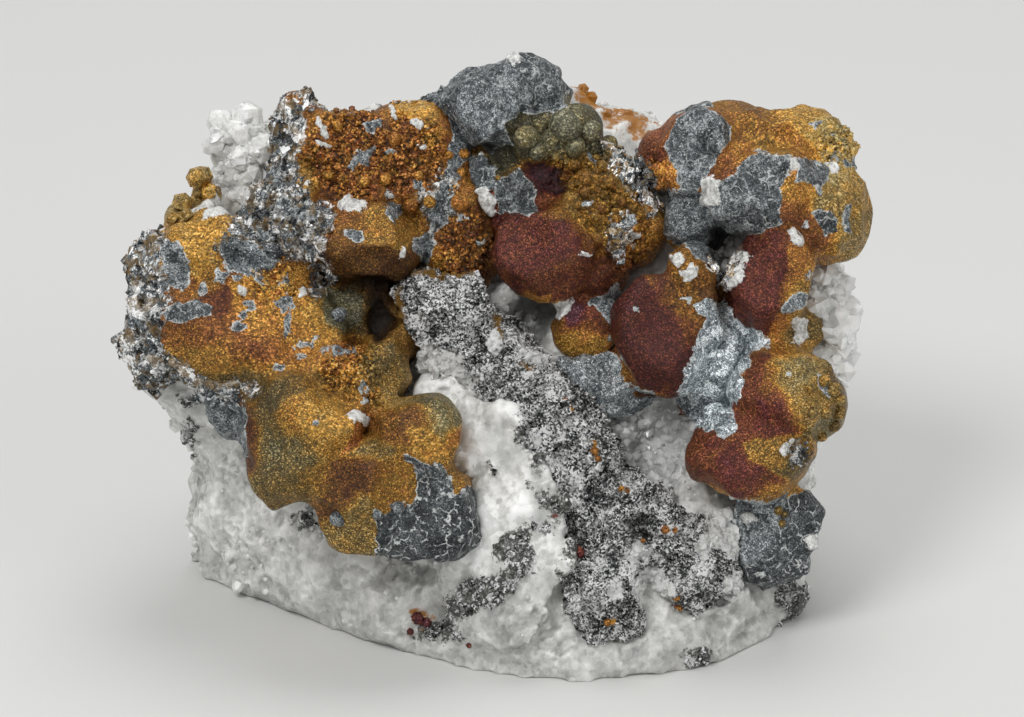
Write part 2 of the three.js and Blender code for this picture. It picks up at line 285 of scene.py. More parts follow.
def keepStrewn(piece, values, corners):  # the same for strewn copies: one value for each copy or for all
    count = len(piece.data.vertices) // corners
    keep(piece, {name: np.repeat(np.broadcast_to(each, count), corners) for name, each in values.items()})


def finish(piece, material, node=None, smooth=True):
    piece.data.materials.clear()
    piece.data.materials.append(material)
    piece.data.polygons.foreach_set("use_smooth", [smooth] * len(piece.data.polygons))
    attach(piece, "root")
    if node:
        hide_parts(node)
    triangles = sum(len(face.vertices) - 2 for face in piece.data.polygons)
    print(f"{piece.name}: {triangles} triangles")


def smallShape(kind):  # corners and triangles of a small shape about one mm across or long
    form = bmesh.new()
    if kind == "grain":
        bmesh.ops.create_icosphere(form, subdivisions=1, radius=0.5)
    if kind == "ball":
        bmesh.ops.create_icosphere(form, subdivisions=3, radius=0.5)
    if kind == "block":
        bmesh.ops.create_cube(form, size=1)
    if kind == "point":  # a six-sided crystal on its foot, with a pointed top
        bmesh.ops.create_cone(form, cap_ends=True, segments=6, radius1=0.5, radius2=0.5, depth=0.7)
        bmesh.ops.translate(form, verts=form.verts, vec=(0, 0, 0.35))
        top = [face for face in form.faces if face.normal.z > 0.9]
        raised = bmesh.ops.extrude_face_region(form, geom=top)["geom"]
        rim = [each for each in raised if isinstance(each, bmesh.types.BMVert)]
        bmesh.ops.delete(form, geom=top, context="FACES_ONLY")
        bmesh.ops.pointmerge(form, verts=rim, merge_co=(0, 0, 1))
    bmesh.ops.triangulate(form, faces=form.faces)
    corners = np.array([vert.co[:] for vert in form.verts])
    faces = np.array([[vert.index for vert in face.verts] for face in form.faces])
    if kind == "point":  # its roof triangles come in another order each run, so they are sorted
        roof = (faces == 0).any(axis=1)
        faces[roof] = sorted(faces[roof].tolist())
    form.free()
    return corners, faces


def placesOn(piece, count, likely, seed):  # places picked on a skin: point, normal and the dice
    jitter = 0.06  # mm
    mesh = piece.data
    area = np.empty(len(mesh.polygons), np.float32)
    mesh.polygons.foreach_get("area", area)
    middle, normal = vectorsOf(mesh.polygons, "center"), vectorsOf(mesh.polygons, "normal")
    chance = area * likely(toFace(middle), normal)
    dice = np.random.default_rng(seed)
    picked = dice.choice(len(area), count, p=chance / chance.sum())
    return middle[picked] + dice.normal(size=(count, 3)) * jitter * mm, normal[picked], dice


def strewn(name, kind, points, normals, sizes, tilt, dice, along=0):  # copies of a small shape, as one mesh
    corners, faces = smallShape(kind)
    count = len(points)
    up = normals + tilt * dice.normal(size=(count, 3))
    up /= np.linalg.norm(up, axis=1, keepdims=True)
    side = np.cross(up, dice.normal(size=(count, 3)) + along)  # their second side lies along
    side /= np.linalg.norm(side, axis=1, keepdims=True)
    turn = np.stack([side, np.cross(up, side), up], axis=2)
    placed = points[:, None] + np.einsum("nij,nvj->nvi", turn, corners * sizes[:, None] * mm)
    placed[..., 2] = np.maximum(placed[..., 2], 0)  # nothing goes under the ground
    joined = faces[None] + np.arange(count)[:, None, None] * len(corners)
    mesh = bpy.data.meshes.new(name)
    mesh.from_pydata(placed.reshape(-1, 3), [], joined.reshape(-1, 3))
    return newPiece(name, mesh), len(corners)


# ---- materials

def colour(code):  # an sRGB hex value as linear light
    parts = [int(code[i:i + 2], 16) / 255 for i in (1, 3, 5)]
    return [p / 12.92 if p <= 0.04045 else ((p + 0.055) / 1.055) ** 2.4 for p in parts] + [1]


def addNode(tree, kind, settings):
    # settings: a property, or a socket by name or number; a value that is a socket is linked
    node = tree.nodes.new("ShaderNode" + kind)
    for name, value in settings.items():
        if name == "stops":
            ramp = node.color_ramp
            while len(ramp.elements) < len(value):
                ramp.elements.new(0.5)
            for element, (place, code) in zip(ramp.elements, value):
                element.position = place
                element.color = colour(code)
        elif isinstance(name, str) and hasattr(node, name):
            setattr(node, name, value)
        elif isinstance(value, bpy.types.NodeSocket):
            tree.links.new(value, node.inputs[name])
        else:
            node.inputs[name].default_value = value
    return node


def newMaterial(name):
    material = bpy.data.materials.new(name)
    material.use_nodes = True
    material.node_tree.nodes.clear()
    return material, material.node_tree


noiseRange = {"From Min": 0.3, "From Max": 0.7}  # what a soft noise fills


def inputsOf(tree, attributes, noises):  # sockets: the place, and attributes and soft noises by name
    where = addNode(tree, "TexCoord", {}).outputs["Object"]
    kept = {}
    for name in attributes:
        kept[name] = addNode(tree, "Attribute", {"attribute_name": name}).outputs["Fac"]
    noise = {}
    for name, (size, detail, roughness) in noises.items():
        noise[name] = addNode(tree, "TexNoise", {"Vector": where, "Scale": 1 / (size * mm),
                                                 "Detail": detail, "Roughness": roughness}).outputs["Fac"]
    return where, kept, noise


def crystalTilt(tree, crystal, strength):  # normals tipped one way or another, by each crystal's colour
    away = addNode(tree, "VectorMath", {"operation": "SUBTRACT", 0: crystal, 1: (0.5, 0.5, 0.5)})
    away = addNode(tree, "VectorMath", {"operation": "SCALE", 0: away.outputs[0], "Scale": strength})
    normal = addNode(tree, "NewGeometry", {}).outputs["Normal"]
    tipped = addNode(tree, "VectorMath", {"operation": "ADD", 0: normal, 1: away.outputs[0]})
    return addNode(tree, "VectorMath", {"operation": "NORMALIZE", 0: tipped.outputs[0]}).outputs[0]


tarnish = {
    # mm across a crystal face, drawn a little coarser than the real ones so that they show
    "velvet": 0.11,  # on the smooth blisters
    "druse": 0.18,  # and on the coarse ones
    "flat": 1.2,  # mm across a flat of the grey flakes
    "crack": 1.5,  # mm between the cracks in them
    "bend": 0.8,  # mm between the bends of flats and cracks
    "bendReach": 1.1,  # mm by which they bend
    "leafScale": 600,  # waves in a metre along the leaves of the silvery metal
    # soft noises: mm across, steps of detail, roughness
    "noises": {
        "mottle": (0.7, 4, 0.7),
        "cloud": (1.1, 4, 0.65),
        "salt": (0.4, 5, 0.75),
        "stain": (1.5, 4, 0.75),
        "edge": (0.5, 3, 0.6),
        "broken": (0.7, 3, 0.7),
    },
    # a quarter of how bright each crystal face is painted, from the dullest to the brightest: its own tone,
    # with painted glints on the brightest
    "glints": [(0, "#404040"), (0.5, "#707070"), (0.86, "#9c9c9c"), (1, "#e0e0e0")],
    "coarseGlints": [(0, "#262626"), (0.35, "#616161"), (0.8, "#a0a0a0"), (1, "#f4f4f4")],
    # painted highlights: the pale colour that the brightest crystal faces are mixed towards
    "glare": [(0.0, "#c4bfa0"), (0.4, "#e6cb8e"), (0.6, "#cf9c68"), (0.75, "#a06a54"), (1.0, "#9a7684")],
    # from thin to thick film
    "film": [(0.00, "#646350"), (0.13, "#6d6340"), (0.27, "#8f733a"), (0.40, "#bd8c38"), (0.50, "#b0752e"),
             (0.60, "#92582a"), (0.72, "#7d402a"), (0.84, "#6a2e2a"), (1.00, "#5e3946")],
    "plate": [(0.0, "#17191a"), (0.3, "#34383a"), (0.5, "#53595c"), (0.68, "#7a8083"), (0.84, "#b4b8b9")],
    # silvery leaves from dark to near white: their own greys, with painted highlights on the lightest
    "silver": [(0.0, "#131415"), (0.26, "#3a3d40"), (0.46, "#6e7274"), (0.64, "#9fa2a2"),
               (0.78, "#f6f6f4")],
    "white": [(0.2, "#a4a4a0"), (0.5, "#d9d9d5"), (0.8, "#fbfbf9")],
    # a painted glint on a few faces of the grey flakes
    "paintedGlint": "#c4c8c9",
    "brownStain": "#7d6640",
    "hairline": "#d2d6d4",
    # painted shade: the dark colour laid over creases, pits and shaded recesses
    "hollow": "#17130d",
}


def tarnishedChalcopyrite(look):
    # Chalcopyrite grown as blisters: velvety metal of tiny crystal faces, with a film of
    # tarnish from olive through gold and red to violet, under flakes of grey sulphide.
    material, tree = newMaterial("tarnished_chalcopyrite")
    attributes = ("film", "light", "coarse", "plate", "silver", "white", "tone", "shade", "dust", "lay")
    where, kept, noise = inputsOf(tree, attributes, look["noises"])

    # metal: the film's colour, brighter or duller on each crystal face, with a painted highlight, a glare,
    # on the brightest
    velvet = addNode(tree, "TexVoronoi", {"Vector": where, "Scale": 1 / (look["velvet"] * mm)})
    druse = addNode(tree, "TexVoronoi", {"Vector": where, "Scale": 1 / (look["druse"] * mm)})
    fineDice = addNode(tree, "SeparateColor", {"Color": velvet.outputs["Color"]})
    coarseDice = addNode(tree, "SeparateColor", {"Color": druse.outputs["Color"]})
    glint = addNode(tree, "ValToRGB", {"Fac": fineDice.outputs[0], "stops": look["glints"]})
    coarseGlint = addNode(tree, "ValToRGB", {"Fac": coarseDice.outputs[0], "stops": look["coarseGlints"]})
    bright = addNode(tree, "Mix", {"data_type": "FLOAT", 0: kept["coarse"], 2: glint.outputs[0],
                                   3: coarseGlint.outputs[0]})
    mottle = addNode(tree, "MapRange", {"Value": noise["mottle"], **noiseRange,
                                        "To Min": 2.8, "To Max": 5.2}).outputs[0]
    bright = addNode(tree, "Math", {"operation": "MULTIPLY", 0: bright.outputs[0], 1: mottle}).outputs[0]
    dazzle = addNode(tree, "MapRange", {"Value": bright, "From Min": 1.3, "From Max": 3.4,
                                        "To Max": 0.55}).outputs[0]
    # the light attribute: the film's own lightness, partly painted light and shade
    bright = addNode(tree, "Math", {"operation": "MULTIPLY", 0: bright, 1: kept["light"]}).outputs[0]
    cloud = addNode(tree, "MapRange", {"Value": noise["cloud"], **noiseRange,
                                       "To Min": -0.09, "To Max": 0.09, "clamp": False}).outputs[0]
    stray = addNode(tree, "MapRange", {"Value": fineDice.outputs[1], "To Min": -0.04,
                                       "To Max": 0.04}).outputs[0]
    film = addNode(tree, "Math", {"operation": "ADD", 0: kept["film"], 1: cloud}).outputs[0]
    film = addNode(tree, "Math", {"operation": "ADD", 0: film, 1: stray}).outputs[0]
    metal = addNode(tree, "ValToRGB", {"Fac": film, "stops": look["film"]}).outputs[0]
    metal = addNode(tree, "VectorMath", {"operation": "SCALE", 0: metal, "Scale": bright}).outputs[0]
    # the painted highlight is weaker where the film is painted darker
    bare = addNode(tree, "Math", {"operation": "MULTIPLY", 0: kept["light"], 1: kept["light"]}).outputs[0]
    dazzle = addNode(tree, "Math", {"operation": "MULTIPLY", 0: dazzle, 1: bare}).outputs[0]
    glare = addNode(tree, "ValToRGB", {"Fac": film, "stops": look["glare"]}).outputs[0]
    metal = addNode(tree, "Mix", {"data_type": "RGBA", 0: dazzle, 6: metal, 7: glare}).outputs[2]

    # grey flakes in crisp flats, with a few painted glints as bright specks
    salt = addNode(tree, "MapRange", {"Value": noise["salt"], **noiseRange}).outputs[0]
    bend = addNode(tree, "TexNoise", {"Vector": where, "Scale": 1 / (look["bend"] * mm), "Detail": 3})
    bend = addNode(tree, "VectorMath", {"operation": "SCALE", 0: bend.outputs["Color"],
                                        "Scale": look["bendReach"] * mm}).outputs[0]
    bent = addNode(tree, "VectorMath", {"operation": "ADD", 0: where, 1: bend}).outputs[0]
    flat = addNode(tree, "TexVoronoi", {"Vector": bent, "Scale": 1 / (look["flat"] * mm)}).outputs["Color"]
    flatDice = addNode(tree, "SeparateColor", {"Color": flat})
    plateTone = addNode(tree, "Mix", {"data_type": "FLOAT", 0: 0.65, 2: flatDice.outputs[0],
                                      3: salt}).outputs[0]
    plateTone = addNode(tree, "Mix", {"data_type": "FLOAT", 0: 0.36, 2: plateTone,
                                      3: fineDice.outputs[1]}).outputs[0]
    plateTone = addNode(tree, "MapRange", {"Value": plateTone, "From Min": 0.12,
                                           "From Max": 0.88}).outputs[0]
    plate = addNode(tree, "ValToRGB", {"Fac": plateTone, "stops": look["plate"]}).outputs[0]
    paintedGlint = addNode(tree, "MapRange", {"Value": fineDice.outputs[2], "From Min": 0.98,
                                       "From Max": 0.985}).outputs[0]
    plate = addNode(tree, "Mix", {"data_type": "RGBA", 0: paintedGlint, 6: plate,
                                  7: colour(look["paintedGlint"])}).outputs[2]

    # the silvery metal lies in thin leaves, its lightest greys painted highlights
    leaves = addNode(tree, "CombineXYZ", {"X": kept["lay"]}).outputs[0]
    leaves = addNode(tree, "VectorMath", {"operation": "MULTIPLY_ADD", 0: where,
                                          1: (look["leafScale"],) * 3, 2: leaves})
    leaves = addNode(tree, "TexNoise", {"Vector": leaves.outputs[0], "Scale": 1, "Detail": 4,
                                        "Roughness": 0.7})
    leaves = addNode(tree, "MapRange", {"Value": leaves.outputs["Fac"], "From Min": 0.33,
                                        "From Max": 0.67}).outputs[0]
    silverTone = addNode(tree, "Mix", {"data_type": "FLOAT", 0: 0.35, 2: leaves, 3: salt}).outputs[0]
    silverTone = addNode(tree, "Mix", {"data_type": "FLOAT", 0: 0.18, 2: silverTone,
                                       3: fineDice.outputs[1]}).outputs[0]
    patchy = addNode(tree, "MapRange", {"Value": flatDice.outputs[1], "To Min": -0.12,
                                        "To Max": 0.16}).outputs[0]
    silverTone = addNode(tree, "Math", {"operation": "ADD", 0: silverTone, 1: patchy}).outputs[0]
    silverTone = addNode(tree, "MapRange", {"Value": silverTone, **noiseRange}).outputs[0]
    silver = addNode(tree, "ValToRGB", {"Fac": silverTone, "stops": look["silver"]}).outputs[0]
    blueGrey = addNode(tree, "MapRange", {"Value": flatDice.outputs[2], "From Min": 0.74,
                                          "From Max": 0.76}).outputs[0]
    silver = addNode(tree, "Mix", {"data_type": "RGBA", 0: blueGrey, 6: silver, 7: plate}).outputs[2]
    stain = addNode(tree, "MapRange", {"Value": noise["stain"], "From Min": 0.51, "From Max": 0.58,
                                       "To Max": 0.75}).outputs[0]
    silver = addNode(tree, "Mix", {"data_type": "RGBA", 0: stain, 6: silver,
                                   7: colour(look["brownStain"])}).outputs[2]
    # tone: the greys' own lightness, partly painted light and shade
    plate = addNode(tree, "VectorMath", {"operation": "SCALE", 0: plate, "Scale": kept["tone"]}).outputs[0]
    silver = addNode(tree, "VectorMath", {"operation": "SCALE", 0: silver,
                                          "Scale": kept["tone"]}).outputs[0]

    # ragged edges of the coatings
    edge = addNode(tree, "MapRange", {"Value": noise["edge"], **noiseRange,
                                      "To Min": -0.14, "To Max": 0.14, "clamp": False}).outputs[0]
    plateIn = addNode(tree, "Math", {"operation": "ADD", 0: kept["plate"], 1: edge}).outputs[0]
    silverIn = addNode(tree, "Math", {"operation": "MULTIPLY_ADD", 0: edge, 1: 4.0,
                                      2: kept["silver"]}).outputs[0]
    whiteIn = addNode(tree, "Math", {"operation": "ADD", 0: kept["white"], 1: edge}).outputs[0]
    plateShare = addNode(tree, "MapRange", {"Value": plateIn, "From Min": -0.03,
                                            "From Max": 0.03}).outputs[0]
    silverShare = addNode(tree, "MapRange", {"Value": silverIn, "From Min": -0.1,
                                             "From Max": 0.15}).outputs[0]
    whiteShare = addNode(tree, "MapRange", {"Value": whiteIn, "From Min": -0.03,
                                            "From Max": 0.04}).outputs[0]

    # pale hairlines: along the rims of the flakes, and as bent cracks over them
    crack = addNode(tree, "TexVoronoi", {"Vector": bent, "feature": "DISTANCE_TO_EDGE",
                                         "Scale": 1 / (look["crack"] * mm)})
    crack = addNode(tree, "MapRange", {"Value": crack.outputs["Distance"], "From Min": 0.06,
                                       "From Max": 0.02})
    crackHere = addNode(tree, "MapRange", {"Value": noise["broken"], "From Min": 0.47, "From Max": 0.56})
    crack = addNode(tree, "Math", {"operation": "MULTIPLY", 0: crack.outputs[0], 1: crackHere.outputs[0]})
    crackled = addNode(tree, "MapRange", {"Value": kept["tone"], "From Min": 1.05, "From Max": 0.7,
                                          "To Min": 0.4})
    crack = addNode(tree, "Math", {"operation": "MULTIPLY", 0: crack.outputs[0], 1: crackled.outputs[0]})
    rim = addNode(tree, "MapRange", {"Value": plateIn, "From Min": 0.17, "From Max": 0.06}).outputs[0]
    rimHere = addNode(tree, "MapRange", {"Value": noise["broken"], "From Min": 0.43, "From Max": 0.53})
    rim = addNode(tree, "Math", {"operation": "MULTIPLY", 0: rim, 1: rimHere.outputs[0]}).outputs[0]
    pale = addNode(tree, "Math", {"operation": "MAXIMUM", 0: rim, 1: crack.outputs[0]}).outputs[0]
    dust = addNode(tree, "Math", {"operation": "MULTIPLY", 0: kept["dust"],
                                  1: rimHere.outputs[0]}).outputs[0]
    pale = addNode(tree, "Math", {"operation": "MAXIMUM", 0: pale, 1: dust}).outputs[0]
    pale = addNode(tree, "Math", {"operation": "MULTIPLY", 0: pale, 1: plateShare}).outputs[0]
    white = addNode(tree, "ValToRGB", {"Fac": salt, "stops": look["white"]}).outputs[0]

    # the coatings are laid over the metal, then painted shade where the shade attribute says
    skin = metal
    for share, over in ((silverShare, silver), (plateShare, plate), (pale, colour(look["hairline"])),
                        (whiteShare, white), (kept["shade"], colour(look["hollow"]))):
        skin = addNode(tree, "Mix", {"data_type": "RGBA", 0: share, 6: skin, 7: over}).outputs[2]

    # each crystal face or flat tips its own way
    grey = addNode(tree, "Math", {"operation": "MAXIMUM", 0: plateShare, 1: silverShare}).outputs[0]
    crystal = addNode(tree, "Mix", {"data_type": "RGBA", 0: kept["coarse"], 6: velvet.outputs["Color"],
                                    7: druse.outputs["Color"]}).outputs[2]
    crystal = addNode(tree, "Mix", {"data_type": "RGBA", 0: grey, 6: crystal, 7: flat}).outputs[2]
    bump = addNode(tree, "Bump", {"Strength": 0.6, "Distance": 0.12 * mm, "Height": salt,
                                  "Normal": crystalTilt(tree, crystal, 0.5)})
    metallic = addNode(tree, "MapRange", {"Value": whiteShare, "To Min": 0.45, "To Max": 0.0}).outputs[0]
    rough = addNode(tree, "MapRange", {"Value": fineDice.outputs[2], "To Min": 0.32,
                                       "To Max": 0.54}).outputs[0]
    shader = addNode(tree, "BsdfPrincipled", {
        "IOR": 1.5, "Base Color": skin, "Metallic": metallic, "Roughness": rough, "Normal": bump.outputs[0],
    })
    addNode(tree, "OutputMaterial", {"Surface": shader.outputs[0]})
    return material


oreVein = {
    # mm across the finest grains, which are drawn coarse enough to show, the flecks and the cleavage faces
    "grain": 0.17,
    "fleck": 0.32,
    "cleavage": 1.3,
    "bend": 0.5,  # mm between the bends of flecks and faces, and by which they bend
    # soft noises: mm across, steps of detail, roughness
    "noises": {"salt": (0.4, 5, 0.85), "band": (2.4, 3, 0.6)},
    # lead-grey from near black to white: painted glints and painted shade on the cleavage faces
    "ore": [(0.28, "#0c0d0d"), (0.40, "#353737"), (0.51, "#6e706f"), (0.61, "#b2b3b0"), (0.70, "#ffffff")],
    "sugar": [(0.2, "#cbccc8"), (0.5, "#efefec"), (0.8, "#ffffff")],
    "gold": "#8d6c34",
    # painted shade: the dark colour laid over creases and shaded slots
    "hollow": "#15120f",
}


def sparklingSulphide(look):
    # Galena-like vein ore: broken lead-grey metal whose cleavage faces are painted from near black to
    # flashing white, as painted glints on the bright faces and painted shade on the dark ones.
    material, tree = newMaterial("sparkling_sulphide")
    attributes = ("white", "gold", "shade")
    where, kept, noise = inputsOf(tree, attributes, look["noises"])
    bend = addNode(tree, "TexNoise", {"Vector": where, "Scale": 1 / (look["bend"] * mm), "Detail": 2})
    bend = addNode(tree, "VectorMath", {"operation": "SCALE", 0: bend.outputs["Color"],
                                        "Scale": look["bend"] * mm}).outputs[0]
    bent = addNode(tree, "VectorMath", {"operation": "ADD", 0: where, 1: bend}).outputs[0]
    grain = addNode(tree, "TexVoronoi", {"Vector": where, "Scale": 1 / (look["grain"] * mm)})
    dice = addNode(tree, "SeparateColor", {"Color": grain.outputs["Color"]}).outputs[0]
    fleck = addNode(tree, "TexVoronoi", {"Vector": bent, "Scale": 1 / (look["fleck"] * mm)})
    fleckDice = addNode(tree, "SeparateColor", {"Color": fleck.outputs["Color"]}).outputs[0]
    cleaved = addNode(tree, "TexVoronoi", {"Vector": bent, "Scale": 1 / (look["cleavage"] * mm)})
    cleavedDice = addNode(tree, "SeparateColor", {"Color": cleaved.outputs["Color"]}).outputs[0]
    salt = addNode(tree, "MapRange", {"Value": noise["salt"], **noiseRange}).outputs[0]
    tone = addNode(tree, "Mix", {"data_type": "FLOAT", 0: 0.5, 2: salt, 3: fleckDice}).outputs[0]
    tone = addNode(tree, "Mix", {"data_type": "FLOAT", 0: 0.55, 2: tone, 3: dice}).outputs[0]
    tone = addNode(tree, "Mix", {"data_type": "FLOAT", 0: 0.2, 2: tone, 3: cleavedDice}).outputs[0]
    band = addNode(tree, "MapRange", {"Value": noise["band"], **noiseRange,
                                      "To Min": -0.07, "To Max": 0.2}).outputs[0]
    tone = addNode(tree, "Math", {"operation": "ADD", 0: tone, 1: band}).outputs[0]
    skin = addNode(tree, "ValToRGB", {"Fac": tone, "stops": look["ore"]}).outputs[0]
    whiteShare = addNode(tree, "MapRange", {"Value": kept["white"], "From Min": -0.05,
                                            "From Max": 0.1}).outputs[0]
    sugar = addNode(tree, "ValToRGB", {"Fac": salt, "stops": look["sugar"]}).outputs[0]
    goldShare = addNode(tree, "MapRange", {"Value": kept["gold"], "From Min": -0.05,
                                           "From Max": 0.2}).outputs[0]
    for share, over in ((whiteShare, sugar), (goldShare, colour(look["gold"])),
                        (kept["shade"], colour(look["hollow"]))):
        skin = addNode(tree, "Mix", {"data_type": "RGBA", 0: share, 6: skin, 7: over}).outputs[2]
    bump = addNode(tree, "Bump", {"Strength": 0.8, "Distance": 0.15 * mm, "Height": salt,
                                  "Normal": crystalTilt(tree, cleaved.outputs["Color"], 0.8)})
    metallic = addNode(tree, "MapRange", {"Value": whiteShare, "To Min": 0.5, "To Max": 0.0}).outputs[0]
    rough = addNode(tree, "MapRange", {"Value": dice, "To Min": 0.25, "To Max": 0.5}).outputs[0]
    shader = addNode(tree, "BsdfPrincipled", {
        "IOR": 1.5, "Base Color": skin, "Metallic": metallic, "Roughness": rough, "Normal": bump.outputs[0],
    })
    addNode(tree, "OutputMaterial", {"Surface": shader.outputs[0]})
    return material


milkyQuartz = {
    "crystal": 0.6,  # mm across
    # soft noises: mm across, steps of detail, roughness
    "noises": {
        "cloud": (3.2, 5, 0.6),
        "sugar": (0.7, 5, 0.75),
        "salt": (0.3, 3, 0.85),
        "edge": (0.7, 3, 0.7),
    },
    "skin": [(0.36, "#9d9e9b"), (0.48, "#bcbcb8"), (0.60, "#d8d8d4"), (0.74, "#f8f8f6")],
    "ore": [(0.36, "#191b1a"), (0.52, "#444540"), (0.62, "#8b8b84"), (0.7, "#dadad6")],
    "glassy": "#b4b6b3",
    "rust": "#a0691e",
    "red": "#6e2a1c",
    # painted shade: the dark colour laid over shaded hollows
    "hollow": "#24221e",
}


def veinQuartz(look):
    # Milky vein quartz, broken: white and glassy, sugary along its edges, stained where ore was.
    material, tree = newMaterial("milky_vein_quartz")
    attributes = ("clear", "ore", "rust", "red", "shade", "edge")
    where, kept, noise = inputsOf(tree, attributes, look["noises"])
    crystal = addNode(tree, "TexVoronoi", {"Vector": where, "Scale": 1 / (look["crystal"] * mm)})
    dice = addNode(tree, "SeparateColor", {"Color": crystal.outputs["Color"]}).outputs[0]
    tone = addNode(tree, "Mix", {"data_type": "FLOAT", 0: 0.35, 2: noise["cloud"], 3: noise["sugar"]})
    tone = addNode(tree, "Math", {"operation": "MULTIPLY_ADD", 0: dice, 1: 0.1,
                                  2: tone.outputs[0]}).outputs[0]
    tone = addNode(tree, "Math", {"operation": "ADD", 0: tone, 1: kept["edge"]}).outputs[0]
    skin = addNode(tree, "ValToRGB", {"Fac": tone, "stops": look["skin"]}).outputs[0]
    ore = addNode(tree, "ValToRGB", {"Fac": noise["salt"], "stops": look["ore"]}).outputs[0]
    edge = addNode(tree, "MapRange", {"Value": noise["edge"], **noiseRange,
                                      "To Min": -0.45, "To Max": 0.45, "clamp": False}).outputs[0]
    oreIn = addNode(tree, "Math", {"operation": "ADD", 0: kept["ore"], 1: edge}).outputs[0]
    oreShare = addNode(tree, "MapRange", {"Value": oreIn, "From Min": -0.1, "From Max": 0.2}).outputs[0]
    rustIn = addNode(tree, "Math", {"operation": "ADD", 0: kept["rust"], 1: edge}).outputs[0]
    rustShare = addNode(tree, "MapRange", {"Value": rustIn, "From Min": -0.1, "From Max": 0.35}).outputs[0]
    redShare = addNode(tree, "MapRange", {"Value": kept["red"], "From Max": 0.15}).outputs[0]
    for share, over in ((kept["clear"], colour(look["glassy"])), (oreShare, ore),
                        (rustShare, colour(look["rust"])), (redShare, colour(look["red"])),
                        (kept["shade"], colour(look["hollow"]))):
        skin = addNode(tree, "Mix", {"data_type": "RGBA", 0: share, 6: skin, 7: over}).outputs[2]
    bump = addNode(tree, "Bump", {"Strength": 0.4, "Distance": 0.2 * mm, "Height": noise["sugar"],
                                  "Normal": crystalTilt(tree, crystal.outputs["Color"], 0.35)})
    rough = addNode(tree, "MapRange", {"Value": dice, "To Min": 0.22, "To Max": 0.5}).outputs[0]
    shader = addNode(tree, "BsdfPrincipled", {
        "IOR": 1.544, "Subsurface Weight": 0.3, "Subsurface Radius": (1.0, 1.0, 0.95),
        "Subsurface Scale": 0.6 * mm, "Base Color": skin, "Roughness": rough, "Normal": bump.outputs[0],
    })
    addNode(tree, "OutputMaterial", {"Surface": shader.outputs[0]})
    return material


glassyQuartz = {
    "noises": {"heart": (1.2, 3, 0.5)},  # mm across, steps of detail, roughness
    "skin": [(0.35, "#e2e3e0"), (0.65, "#fdfdfc")],
    "seeThrough": 0.18,
}


def clearQuartz(look):
    # Small quartz crystals: colourless glassy points with a milky heart, see-through at their edges.
    material, tree = newMaterial("clear_quartz")
    noise = inputsOf(tree, (), look["noises"])[2]
    skin = addNode(tree, "ValToRGB", {"Fac": noise["heart"], "stops": look["skin"]}).outputs[0]
    shader = addNode(tree, "BsdfPrincipled", {
        "IOR": 1.544, "Roughness": 0.18, "Transmission Weight": look["seeThrough"], "Base Color": skin,
    })
    addNode(tree, "OutputMaterial", {"Surface": shader.outputs[0]})
    return material


chalcopyriteSkin = tarnishedChalcopyrite(tarnish)
sulphideSkin = sparklingSulphide(oreVein)
quartzSkin = veinQuartz(milkyQuartz)
crystalSkin = clearQuartz(glassyQuartz)
print("materials made")
